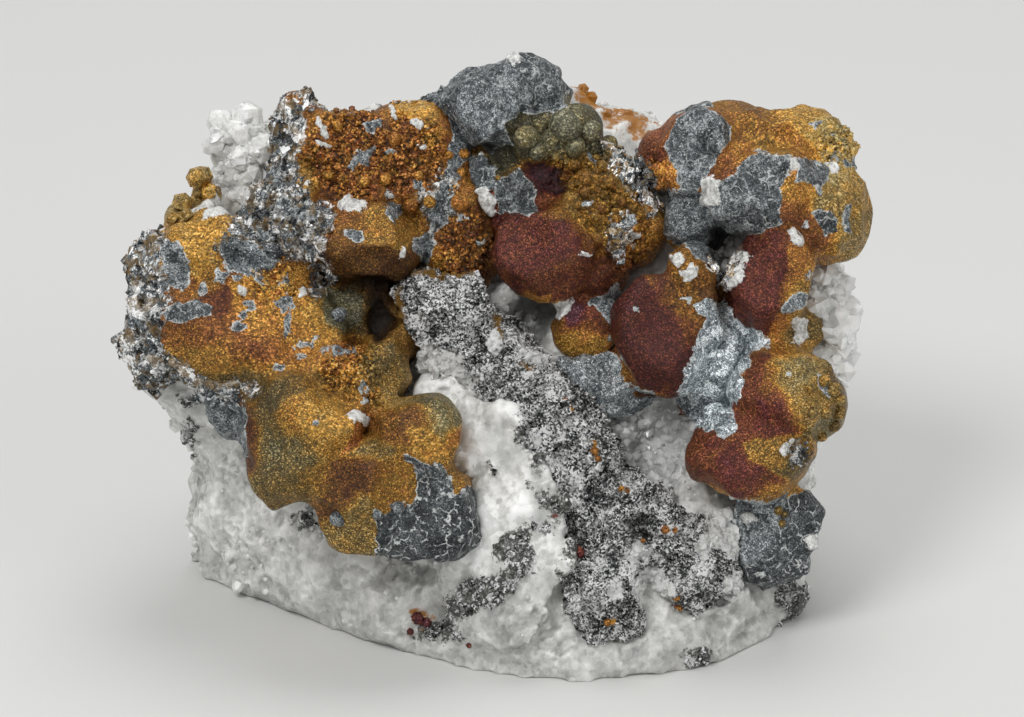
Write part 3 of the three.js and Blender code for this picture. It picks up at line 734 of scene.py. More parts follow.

# ---- the masses

# voxel: mm between the skin's first points; rounds: how often they are worn smooth
# coarse: how coarse the crystals of its druse are, from 0 to 1; grainShare: its share of the strewn grains
# film: x, y, half width, half height, thickness of the film, how light it is: partly its own lightness,
# partly painted light and shade, as also in the patches
# patches: thickness, light and closed outline of a crisp patch of film
# plates, silver and white: closed outlines; chips, druse, sparkly, broken and shade: ovals
# pushed: mm outwards, and the oval
# tone: x, y, half width, half height, how light the greys are: partly their own tone, partly painted light
# and shade
leftCrust = {
    "node": "left_chalcopyrite", "voxel": 0.49, "rounds": 2, "seed": 100, "coarse": 1.0, "grainShare": 1.0,
    "film": [
        (-19.5, 55, 2.5, 2.5, 0.50, 0.75), (-15.5, 52, 4, 4, 0.55, 0.72), (-10.5, 52.5, 4, 3.4, 0.54, 0.8),
        (-9.8, 57.2, 1.6, 0.8, 0.36, 1.7), (-8.2, 54.6, 0.8, 2, 0.42, 0.85), (-21, 50, 1.2, 2, 0.34, 0.8),
        (-12.2, 45.4, 2.4, 1.8, 0.42, 0.66), (-16, 44, 2, 1.0, 0.48, 0.5),
        (-13.7, 41.2, 5, 2.2, 0.52, 0.26), (-15, 42.6, 3, 0.6, 0.50, 0.38),
        (-29.4, 45.6, 3, 1.6, 0.38, 1.15), (-31, 43.6, 1.6, 1.6, 0.40, 1.1),
        (-30.6, 41, 1.4, 1.8, 0.42, 0.55), (-28.4, 42.6, 0.9, 1.6, 0.60, 0.6),
        (-32.4, 39.6, 1.6, 0.8, 0.54, 0.8), (-29.4, 37.8, 1.0, 1.6, 0.68, 0.5),
        (-31, 35, 3, 1.6, 0.56, 0.72), (-28.6, 36, 0.9, 1.2, 0.58, 0.85), (-24, 39, 3, 1.6, 0.42, 1.15),
        (-22.8, 36, 2, 2.6, 0.46, 1.0), (-25.6, 36.4, 1.6, 2, 0.46, 0.9), (-21, 33.6, 3, 2, 0.46, 0.85),
        (-19.2, 35.8, 1.6, 2, 0.40, 1.1), (-17, 33, 2, 1.6, 0.54, 0.9), (-25.5, 33.2, 3, 1.4, 0.60, 0.72),
        (-30.5, 32.2, 3, 1.2, 0.42, 0.7), (-24, 31, 4, 0.9, 0.44, 0.85), (-26, 29.6, 5, 0.9, 0.22, 0.5),
        (-20, 30, 3, 1, 0.42, 0.5), (-17.6, 31, 2, 1, 0.45, 1.3), (-15, 29.2, 2, 1.4, 0.42, 0.85),
        (-26.2, 24.6, 1.2, 2.4, 0.62, 0.36), (-24.8, 26.6, 1.4, 1.6, 0.2, 0.48),
        (-24.2, 23, 1.4, 2.6, 0.15, 0.85), (-22.2, 25.4, 1.4, 1.6, 0.45, 0.8),
        (-19.6, 26.2, 2, 2.2, 0.38, 1.0), (-18.4, 23.6, 2.2, 1.8, 0.38, 0.9),
        (-21.4, 22.4, 1.6, 1.8, 0.18, 0.9), (-22.6, 19.4, 2.4, 1.6, 0.27, 0.68),
        (-20, 20.4, 1.8, 1, 0.42, 0.55), (-16, 24, 0.8, 1.4, 0.6, 1.2), (-14.4, 23, 2.2, 1.2, 0.22, 1.0),
        (-16, 20.6, 2.6, 1.4, 0.56, 0.33), (-17.6, 17.6, 1.4, 1.4, 0.52, 0.36),
        (-12.2, 20, 1.4, 1.8, 0.42, 0.72), (-15.6, 15, 1.6, 2, 0.26, 0.95),
        (-13.6, 26, 1.8, 1.4, 0.48, 0.65), (-10.4, 25.4, 2.4, 1.8, 0.5, 0.45),
        (-7, 26.4, 1.4, 1.6, 0.14, 1.6), (-9, 22.6, 2.4, 1.2, 0.42, 0.8), (-5.4, 20.6, 1, 2.4, 0.40, 0.7),
        (-5.4, 24.6, 0.7, 0.8, 0.54, 1.0), (-13.2, 31.4, 2.2, 2.2, 0.25, 0.75),
        (-11.4, 29, 2, 1.6, 0.28, 1.3), (-9, 28.2, 2, 0.8, 0.16, 0.75), (-10.6, 34.6, 1.2, 2.4, 0.42, 0.5),
        (-13.4, 36.6, 1.4, 2.4, 0.5, 0.16), (-17, 36.6, 2, 2, 0.12, 0.6), (-4.4, 44.6, 2.8, 2, 0.55, 0.55),
        (-4, 41, 2, 2, 0.57, 0.45), (-6.6, 41.6, 2, 1, 0.46, 1.0), (-6.4, 48, 1.6, 2, 0.48, 0.8),
        (-31.2, 49.8, 1.4, 1.8, 0.33, 1.4), (-32.6, 47.6, 1.4, 1.4, 0.2, 2.2),
    ],
    "patches": {
        "wedge": (0.36, 1.15, [(-33.8, 45.2), (-30.6, 46.3), (-27.8, 47.1), (-27.1, 46.5), (-27.8, 45.2),
                               (-28.7, 44.1), (-29.2, 42.6), (-30, 42), (-31.3, 40.1), (-32.2, 40.7),
                               (-33.2, 43.1)]),
        "ridge": (0.40, 1.1, [(-21.9, 36.7), (-21.1, 37.5), (-18, 34.7), (-18.4, 34), (-21.4, 35.6)]),
        "lobeTop": (0.42, 0.7, [(-14.3, 46.9), (-13, 46.8), (-11.8, 45.8), (-9.7, 44.9), (-10.2, 42.8),
                                 (-12.6, 43.4), (-15.2, 43.9)]),
        "greyBalls": (0.06, 0.95, [(-19.2, 38.6), (-16.6, 39.2), (-15, 38.4), (-15.2, 35.6), (-17, 34.6),
                                  (-18.6, 35.8)]),
        "brightGold": (0.38, 1.2, [(-20.4, 27.6), (-19, 28.2), (-17.1, 27.6), (-16.6, 25.4), (-16.6, 23.8),
                                   (-18.4, 22.9), (-20.1, 24.4), (-21.4, 25.6)]),
        "redStreak": (0.64, 1.15, [(-17.1, 22.7), (-16.6, 23.8), (-15.8, 24.5), (-15.0, 24.2),
                                   (-15.5, 23.0)]),
        "speckled": (0.41, 0.95, [(-10.6, 24.9), (-9, 25.4), (-7.6, 24.6), (-6.3, 23.5), (-6.5, 22.2),
                                  (-8.4, 21.6), (-10.1, 23.0)]),
    },
    "plates": {
        "besideWedge": [(-35.2, 43.6), (-33.4, 44), (-32.4, 42), (-32.2, 40.4), (-33.2, 39.2),
                        (-34.8, 39.8)],
        "underWedge": [(-29.6, 43.2), (-27.6, 44.2), (-25.6, 43.6), (-24.6, 42), (-26.4, 40.6),
                       (-28.8, 41)],
        "onDruseHigh": [(-15.1, 55.9), (-13.3, 56.2), (-13.1, 55.5), (-13.7, 54.5), (-14.4, 54.8)],
        "onDruseLow": [(-15.8, 52.7), (-13.8, 53.5), (-13.7, 53), (-14.5, 51.7), (-15.8, 51),
                       (-16.3, 51.3)],
        "byCluster": [(-9.4, 44.4), (-7.8, 45), (-7.4, 43.6), (-8, 41.8), (-9.2, 41.8), (-9.8, 43.2)],
        "inCluster": [(-8.8, 46.4), (-7.8, 47.6), (-6.8, 50.4), (-6, 48.2), (-6.4, 45.6), (-7.6, 44.6)],
        "topRight": [(-7.2, 57.4), (-5.6, 58.6), (-3.8, 56.6), (-4.4, 52.4), (-5.4, 49.6), (-6.6, 51),
                     (-6, 54.6)],
        "oval": [(-35, 36.6), (-33.8, 37.8), (-31.6, 38.2), (-29.9, 37.6), (-30.4, 36.6), (-32.8, 35.8),
                 (-34.8, 35.8)],
        "root": [(-31, 28.4), (-27.4, 27.8), (-26.8, 25.8), (-27.2, 22), (-30.6, 23.4), (-32.6, 26.8)],
        "tip": [(-11, 22.3), (-10.3, 22.5), (-9.2, 21.9), (-8.1, 21.4), (-6.9, 21.4), (-6.2, 20.3),
                (-5.8, 18.5), (-4.6, 19.4), (-2.8, 19.6), (-1.5, 15), (-5, 11), (-9, 10.8), (-13.7, 12),
                (-13.4, 14.9), (-13.9, 16.9), (-12.4, 16.5), (-11, 17.6), (-10.3, 17.3), (-9.6, 18.1),
                (-9.5, 20.3), (-9.9, 21), (-10.8, 21.7)],
    },
    "chips": [
        (-12.1, 52.8, 0.5, 0.4), (-11.9, 46.8, 0.9, 0.7), (-15.8, 44.6, 1.0, 0.5, -10),
        (-12.4, 48.6, 0.45, 0.4), (-28.9, 40.4, 0.7, 0.6), (-31, 39.3, 0.3, 0.8), (-27.4, 40.2, 0.45, 0.4),
        (-25.1, 40.2, 0.55, 0.5), (-26.3, 37.6, 0.5, 0.45), (-26.9, 36.9, 0.45, 0.4),
        (-27.3, 35.6, 0.8, 0.55), (-24.3, 41.6, 0.6, 0.5), (-22.5, 40.1, 0.6, 0.5),
        (-22.7, 37.8, 1.1, 0.8, 30), (-22.3, 35.5, 0.4, 1.5), (-20.4, 33.9, 1.2, 0.3, 20),
        (-21.1, 32.6, 0.55, 0.45), (-18.8, 33.1, 0.5, 0.45), (-17.4, 32.7, 0.7, 0.5),
        (-16.1, 33.2, 0.5, 0.5), (-23.1, 31.1, 0.7, 0.4), (-15, 29.2, 0.3, 0.7), (-14.6, 27.9, 0.6, 0.4),
        (-19.7, 25.6, 0.4, 0.4), (-13.2, 16.6, 0.6, 0.6), (-11.1, 17.3, 0.8, 0.6), (-9.4, 49.6, 0.5, 0.6),
        (-5.2, 46.2, 0.5, 0.4), (-3.2, 43.8, 0.35, 0.4), (-24.9, 44.6, 0.8, 0.6), (-22.4, 44.2, 0.7, 0.9),
        (-22.6, 47.4, 0.6, 1.0), (-23.6, 50.6, 0.6, 0.9), (-20.6, 46.2, 0.7, 0.6),
    ],
    "silver": {
        "leftRim": [(-36.8, 45.6), (-34.6, 44.4), (-34.9, 41), (-34.2, 38), (-35.2, 35), (-33.6, 32.4),
                    (-31, 30.4), (-26.4, 29.2), (-27.6, 27.8), (-32.4, 27.6), (-37, 29), (-41, 33),
                    (-41, 43)],
        "shoulder": [(-23.4, 59), (-20.8, 57.4), (-20.7, 54.6), (-21.3, 52.6), (-21.2, 50), (-20.4, 48.2),
                     (-18.4, 48), (-17.6, 45.4), (-19.6, 41.2), (-21, 42.2), (-23.4, 41.4), (-26, 40.8),
                     (-28.4, 42.6), (-30.2, 43), (-27.4, 47), (-26, 51), (-26, 56)],
        "byBlister": [(-20, 41.4), (-18, 42.2), (-17.6, 39.4), (-19.4, 37.8), (-20.4, 38.6)],
        "lowest": [(-29.6, 30.2), (-26, 29.6), (-25.4, 28.8), (-29, 28.8)],
        "topEdge": [(-20.8, 57.2), (-14, 57.4), (-10, 58.2), (-10, 59.4), (-22, 60)],
        "midCluster": [(-9.8, 48.6), (-8.2, 49.2), (-6.6, 51.4), (-5.6, 50.2), (-5.4, 47), (-6.8, 45.6),
                       (-8.8, 45.8), (-9.2, 47)],
    },
    "white": {
        "sliver1": [(-19.8, 56.2), (-19.3, 56.3), (-18.7, 55), (-18.3, 54.3), (-18.8, 54.2), (-19.4, 55)],
        "sliver2": [(-19.8, 54.2), (-18.5, 53.7), (-18.2, 53.3), (-18.6, 53.1), (-19.7, 53.6)],
        "sliver3": [(-12.6, 57.6), (-12.1, 57.6), (-11.2, 56.3), (-11.4, 55.9), (-12.0, 56.4)],
        "chip1": [(-9.2, 53.4), (-8.6, 53.5), (-8.5, 53.1), (-9.1, 52.9)],
        "chip2": [(-12.5, 49), (-12.0, 48.9), (-12.0, 48.3), (-12.4, 48.4)],
        "chip3": [(-20.6, 50), (-20.1, 50), (-20.2, 49.4), (-20.6, 49.5)],
        "topChip": [(-10.2, 56.2), (-9.4, 56.4), (-8.6, 55.6), (-9, 55), (-10, 55.5)],
        "underDruse": [(-17.4, 48), (-16.2, 48.6), (-14.6, 47.8), (-14.4, 46.9), (-16.2, 46.4),
                       (-17.2, 46.8)],
        "lobe": [(-16.9, 26.4), (-15.6, 27.2), (-14.2, 26.5), (-14.6, 25.6), (-16.7, 25.6)],
        "fleck": [(-10.9, 43.4), (-10.5, 43.2), (-10.6, 42.1), (-11.1, 42.0)],
        "dots": [(-21.5, 39.2), (-20.6, 39.3), (-20.4, 38.4), (-21.4, 38.3)],
        "crystalFoot": [(-31.8, 47.2), (-30.4, 48.2), (-28, 48.1), (-27.3, 47.2), (-29, 46.5), (-31, 46.4)],
        "crystalRim": [(-29.6, 52.2), (-28.9, 51.4), (-28.8, 48.8), (-29.4, 48.2), (-29.6, 50)],
        "dot2": [(-27.3, 39.4), (-26.6, 39.5), (-26.5, 38.7), (-27.2, 38.6)],
    },
    "druse": [
        (-16, 52.6, 5.2, 5), (-10.2, 52.6, 4, 4.6), (-4.6, 43.4, 3.2, 4), (-16.4, 31, 3.4, 2.6),
        (-24, 47, 3.6, 8), (-7.4, 49, 2.6, 5), (-14, 28.4, 1.6, 1.4), (-23.6, 39.4, 4.4, 1.6),
        (-36.6, 36, 2, 8),
    ],
    "sparkly": [(-24.6, 35, 6.6, 5), (-29.6, 44, 3.4, 3), (-8.6, 23.6, 2.6, 2), (-19, 26, 2, 2)],
    "broken": [(-31.8, 48.8, 2.4, 3.4), (-36, 36, 3, 9), (-24, 50, 3, 8)],
    "pushed": [(-0.9, (-22, 17.4, 3.4, 1.4, -10)), (-0.7, (-27.6, 22.6, 1.2, 3.4, 15)),
               (-0.6, (-33, 49, 1.0, 3)), (-0.8, (-18.4, 15.4, 1.6, 2.4, 30)), (0.7, (-33.6, 45, 1.4, 1.2)),
               (-0.5, (-9, 10.6, 5, 1.0)), (-0.9, (-31.2, 50.4, 2.4, 2.2)), (-0.6, (-31.6, 48, 2.4, 1.6)),
               (1.4, (-15.8, 24.6, 2, 2.2)), (-1.3, (-30, 26.4, 2.6, 2.6))],
    "tone": [(-8, 15, 5, 5, 0.5), (-8, 20, 3, 2, 0.85), (-33.4, 41.6, 2, 2.4, 1.15), (-27, 42.4, 3, 2, 1.6),
             (-37, 36, 3, 8, 1.3), (-23, 50, 3, 8, 1.15), (-29, 26, 3, 2.6, 1.1), (-32.4, 37, 3, 1.2, 0.95),
             (-22, 36, 5, 5, 1.15)],
    "shade": [(-13.4, 36.4, 1.4, 3.4), (-14, 39.4, 4.4, 1.0), (-9, 30.8, 1.2, 1.6), (-2.9, 54.6, 2.6, 0.9)],
}

crownCrust = {
    "node": "crown_chalcopyrite", "voxel": 0.40, "rounds": 2, "seed": 200, "coarse": 0.4, "grainShare": 0.3,
    "film": [
        (9, 47.6, 3.4, 3.4, 0.42, 0.52), (12, 50, 2, 2.6, 0.3, 0.6), (5.6, 54, 2.8, 2.6, 0.08, 1.2),
        (6, 51.8, 1.8, 1.2, 0.46, 0.95), (1.6, 53.4, 2, 2.8, 0.06, 0.45), (5.2, 50.6, 1.6, 1.2, 0.54, 0.55),
        (2.4, 50.2, 1.8, 1.6, 0.88, 0.4), (3.6, 48, 1.6, 1.2, 0.7, 0.9), (5, 46.8, 2, 0.8, 0.42, 0.5),
        (1, 44.4, 2.6, 3, 0.76, 0.7), (4, 42.4, 3, 2.6, 0.76, 0.62), (6, 40.4, 2.6, 1.8, 0.70, 0.66),
        (3.4, 38.2, 1.4, 1.0, 0.46, 1.3), (-0.8, 42.4, 1, 1.6, 0.70, 0.6), (9.6, 43.4, 2, 1.8, 0.52, 0.65),
        (9.4, 41, 1.8, 1, 0.6, 0.95), (13.4, 45.4, 0.9, 2.6, 0.50, 0.85), (11.6, 43.6, 1.2, 1, 0.48, 0.85),
        (9.4, 54.6, 2, 2, 0.0, 0.6), (6, 36.4, 1.2, 1.0, 0.95, 1.1), (8.2, 36, 1.6, 1, 0.70, 0.8),
        (7.6, 34, 2, 1.6, 0.42, 1.15), (4.4, 35.2, 0.7, 1.2, 0.50, 0.75),
    ],
    "patches": {
        "redTop": (0.77, 0.72, [(-2, 43.2), (-1.2, 45), (-0.4, 46.5), (1.8, 46.7), (3, 46.2), (3.9, 45.9),
                                (5.7, 45.3), (6.6, 43.5), (5.7, 42.3), (3.3, 41.1), (1.5, 40.8),
                                (-1, 41.7)]),
        "redLow": (0.69, 0.66, [(1.5, 40.8), (3.3, 41.1), (5.7, 42.3), (7.5, 42.3), (9.6, 42), (10.8, 41.1),
                                (10.5, 39.9), (8.4, 39.3), (7.2, 38.4), (5.7, 38.1), (3.9, 38.1),
                                (1.8, 38.4), (0.8, 39.3)]),
        "goldFringe": (0.46, 1.15, [(1.9, 38.6), (3.9, 38.7), (4.1, 36.9), (2.6, 36.8)]),
        "brownGold": (0.38, 0.7, [(5.7, 49.5), (7.5, 50.7), (9.9, 50.4), (10.8, 48.9), (11.1, 47.1),
                                  (10.5, 45.3), (9.3, 44.4), (7.5, 44.7), (6, 45.9), (5.1, 47.7)]),
        "violet": (0.92, 0.42, [(1.5, 51.3), (3.3, 51.9), (4.5, 50.7), (5.1, 48.9), (3.9, 48.3),
                                (2.4, 49.2)]),
    },
    "plates": {
        "block": [(-10.6, 58), (-7.2, 60.4), (-4, 63), (4, 63.4), (6.2, 59.8), (5.2, 57.4), (3.4, 56.6),
                  (1, 56.8), (-0.6, 55.6), (-0.2, 53.6), (-2, 52.6), (-4.6, 53.6), (-6.6, 55.4),
                  (-9, 56.8)],
        "saddleRight": [(-1.8, 50), (0.6, 51), (2.2, 49.6), (2.8, 47.4), (1.6, 46.6), (0.2, 47.2),
                        (-1.4, 46.4)],
        "saddleLeft": [(-6.4, 51.6), (-3.2, 52.6), (-1.7, 51.4), (-1.5, 49), (-3.2, 48.6), (-6, 46)],
        "byGold": [(7.6, 37.8), (9.2, 39), (10.6, 39.6), (10.6, 33), (9.6, 33.2), (9.6, 35.6), (8.4, 37)],
    },
    "chips": [(7.5, 47.6, 0.4, 0.35), (8, 52.2, 0.5, 0.4), (10.6, 52.4, 0.6, 0.5), (11.8, 46, 0.4, 0.5),
              (4.4, 57.2, 1.2, 0.5), (9.8, 55, 0.7, 0.4), (-4.4, 53.4, 0.6, 0.4)],
    "silver": {
        "spine": [(8.6, 54.6), (11, 53.6), (13.6, 50.4), (15.4, 47), (13.6, 46.4), (11.8, 49.2),
                  (10, 51.2)],
        "topLeft": [(-10.4, 59), (-7, 60), (-6, 57.6), (-8.4, 56)],
        "leftFlank": [(-6.6, 55.4), (-4.6, 54.6), (-3.8, 52), (-5.6, 51.4), (-7, 53)],
        "rotten": [(10.2, 46.6), (11.6, 46.8), (12.2, 44.4), (11, 42.2), (9.4, 42.6), (9.8, 44.4)],
    },
    "white": {
        "chunk": [(-4.3, 49), (-2.4, 49.4), (-1.6, 48), (-1.7, 46.4), (-3.2, 46.2), (-4.5, 47.4)],
        "underRed": [(4, 37.9), (6.3, 38), (5.9, 36.9), (5, 36.2), (3.9, 36.2)],
        "flake": [(12, 44.8), (13.1, 44.9), (13.0, 44.1), (12.1, 44)],
        "line": [(6.4, 42.9), (7.8, 42.8), (7.6, 42.5), (6.6, 42.5)],
        "topDots": [(-0.6, 62.2), (0.6, 62.6), (1.2, 62), (0.2, 61.4)],
    },
    "druse": [(7, 51.6, 4, 3), (12.6, 49, 2, 5), (-3.6, 50, 3, 3.6), (11, 43, 3, 2), (9, 47, 3, 3)],
    "sparkly": [(6, 54, 3, 3), (13, 46, 2, 5)],
    "broken": [(9.4, 47, 3.4, 4.6), (-3, 58, 7, 4)],
    "pushed": [(0.5, (-3, 58, 5, 3)), (-0.6, (1.4, 52.6, 1.4, 2.4))],
    "tone": [(-3, 58, 4, 3, 1.15), (3, 59, 3, 3, 0.9), (0.6, 48.8, 2.4, 2.4, 0.9), (12, 50, 2, 4, 2.2)],
    "shade": [(-2.4, 53.2, 2.6, 1.0), (5.2, 49.4, 1.0, 0.9), (10.6, 41.7, 1.0, 0.9),
              (12.2, 47.4, 0.16, 2.2, -25)],
}

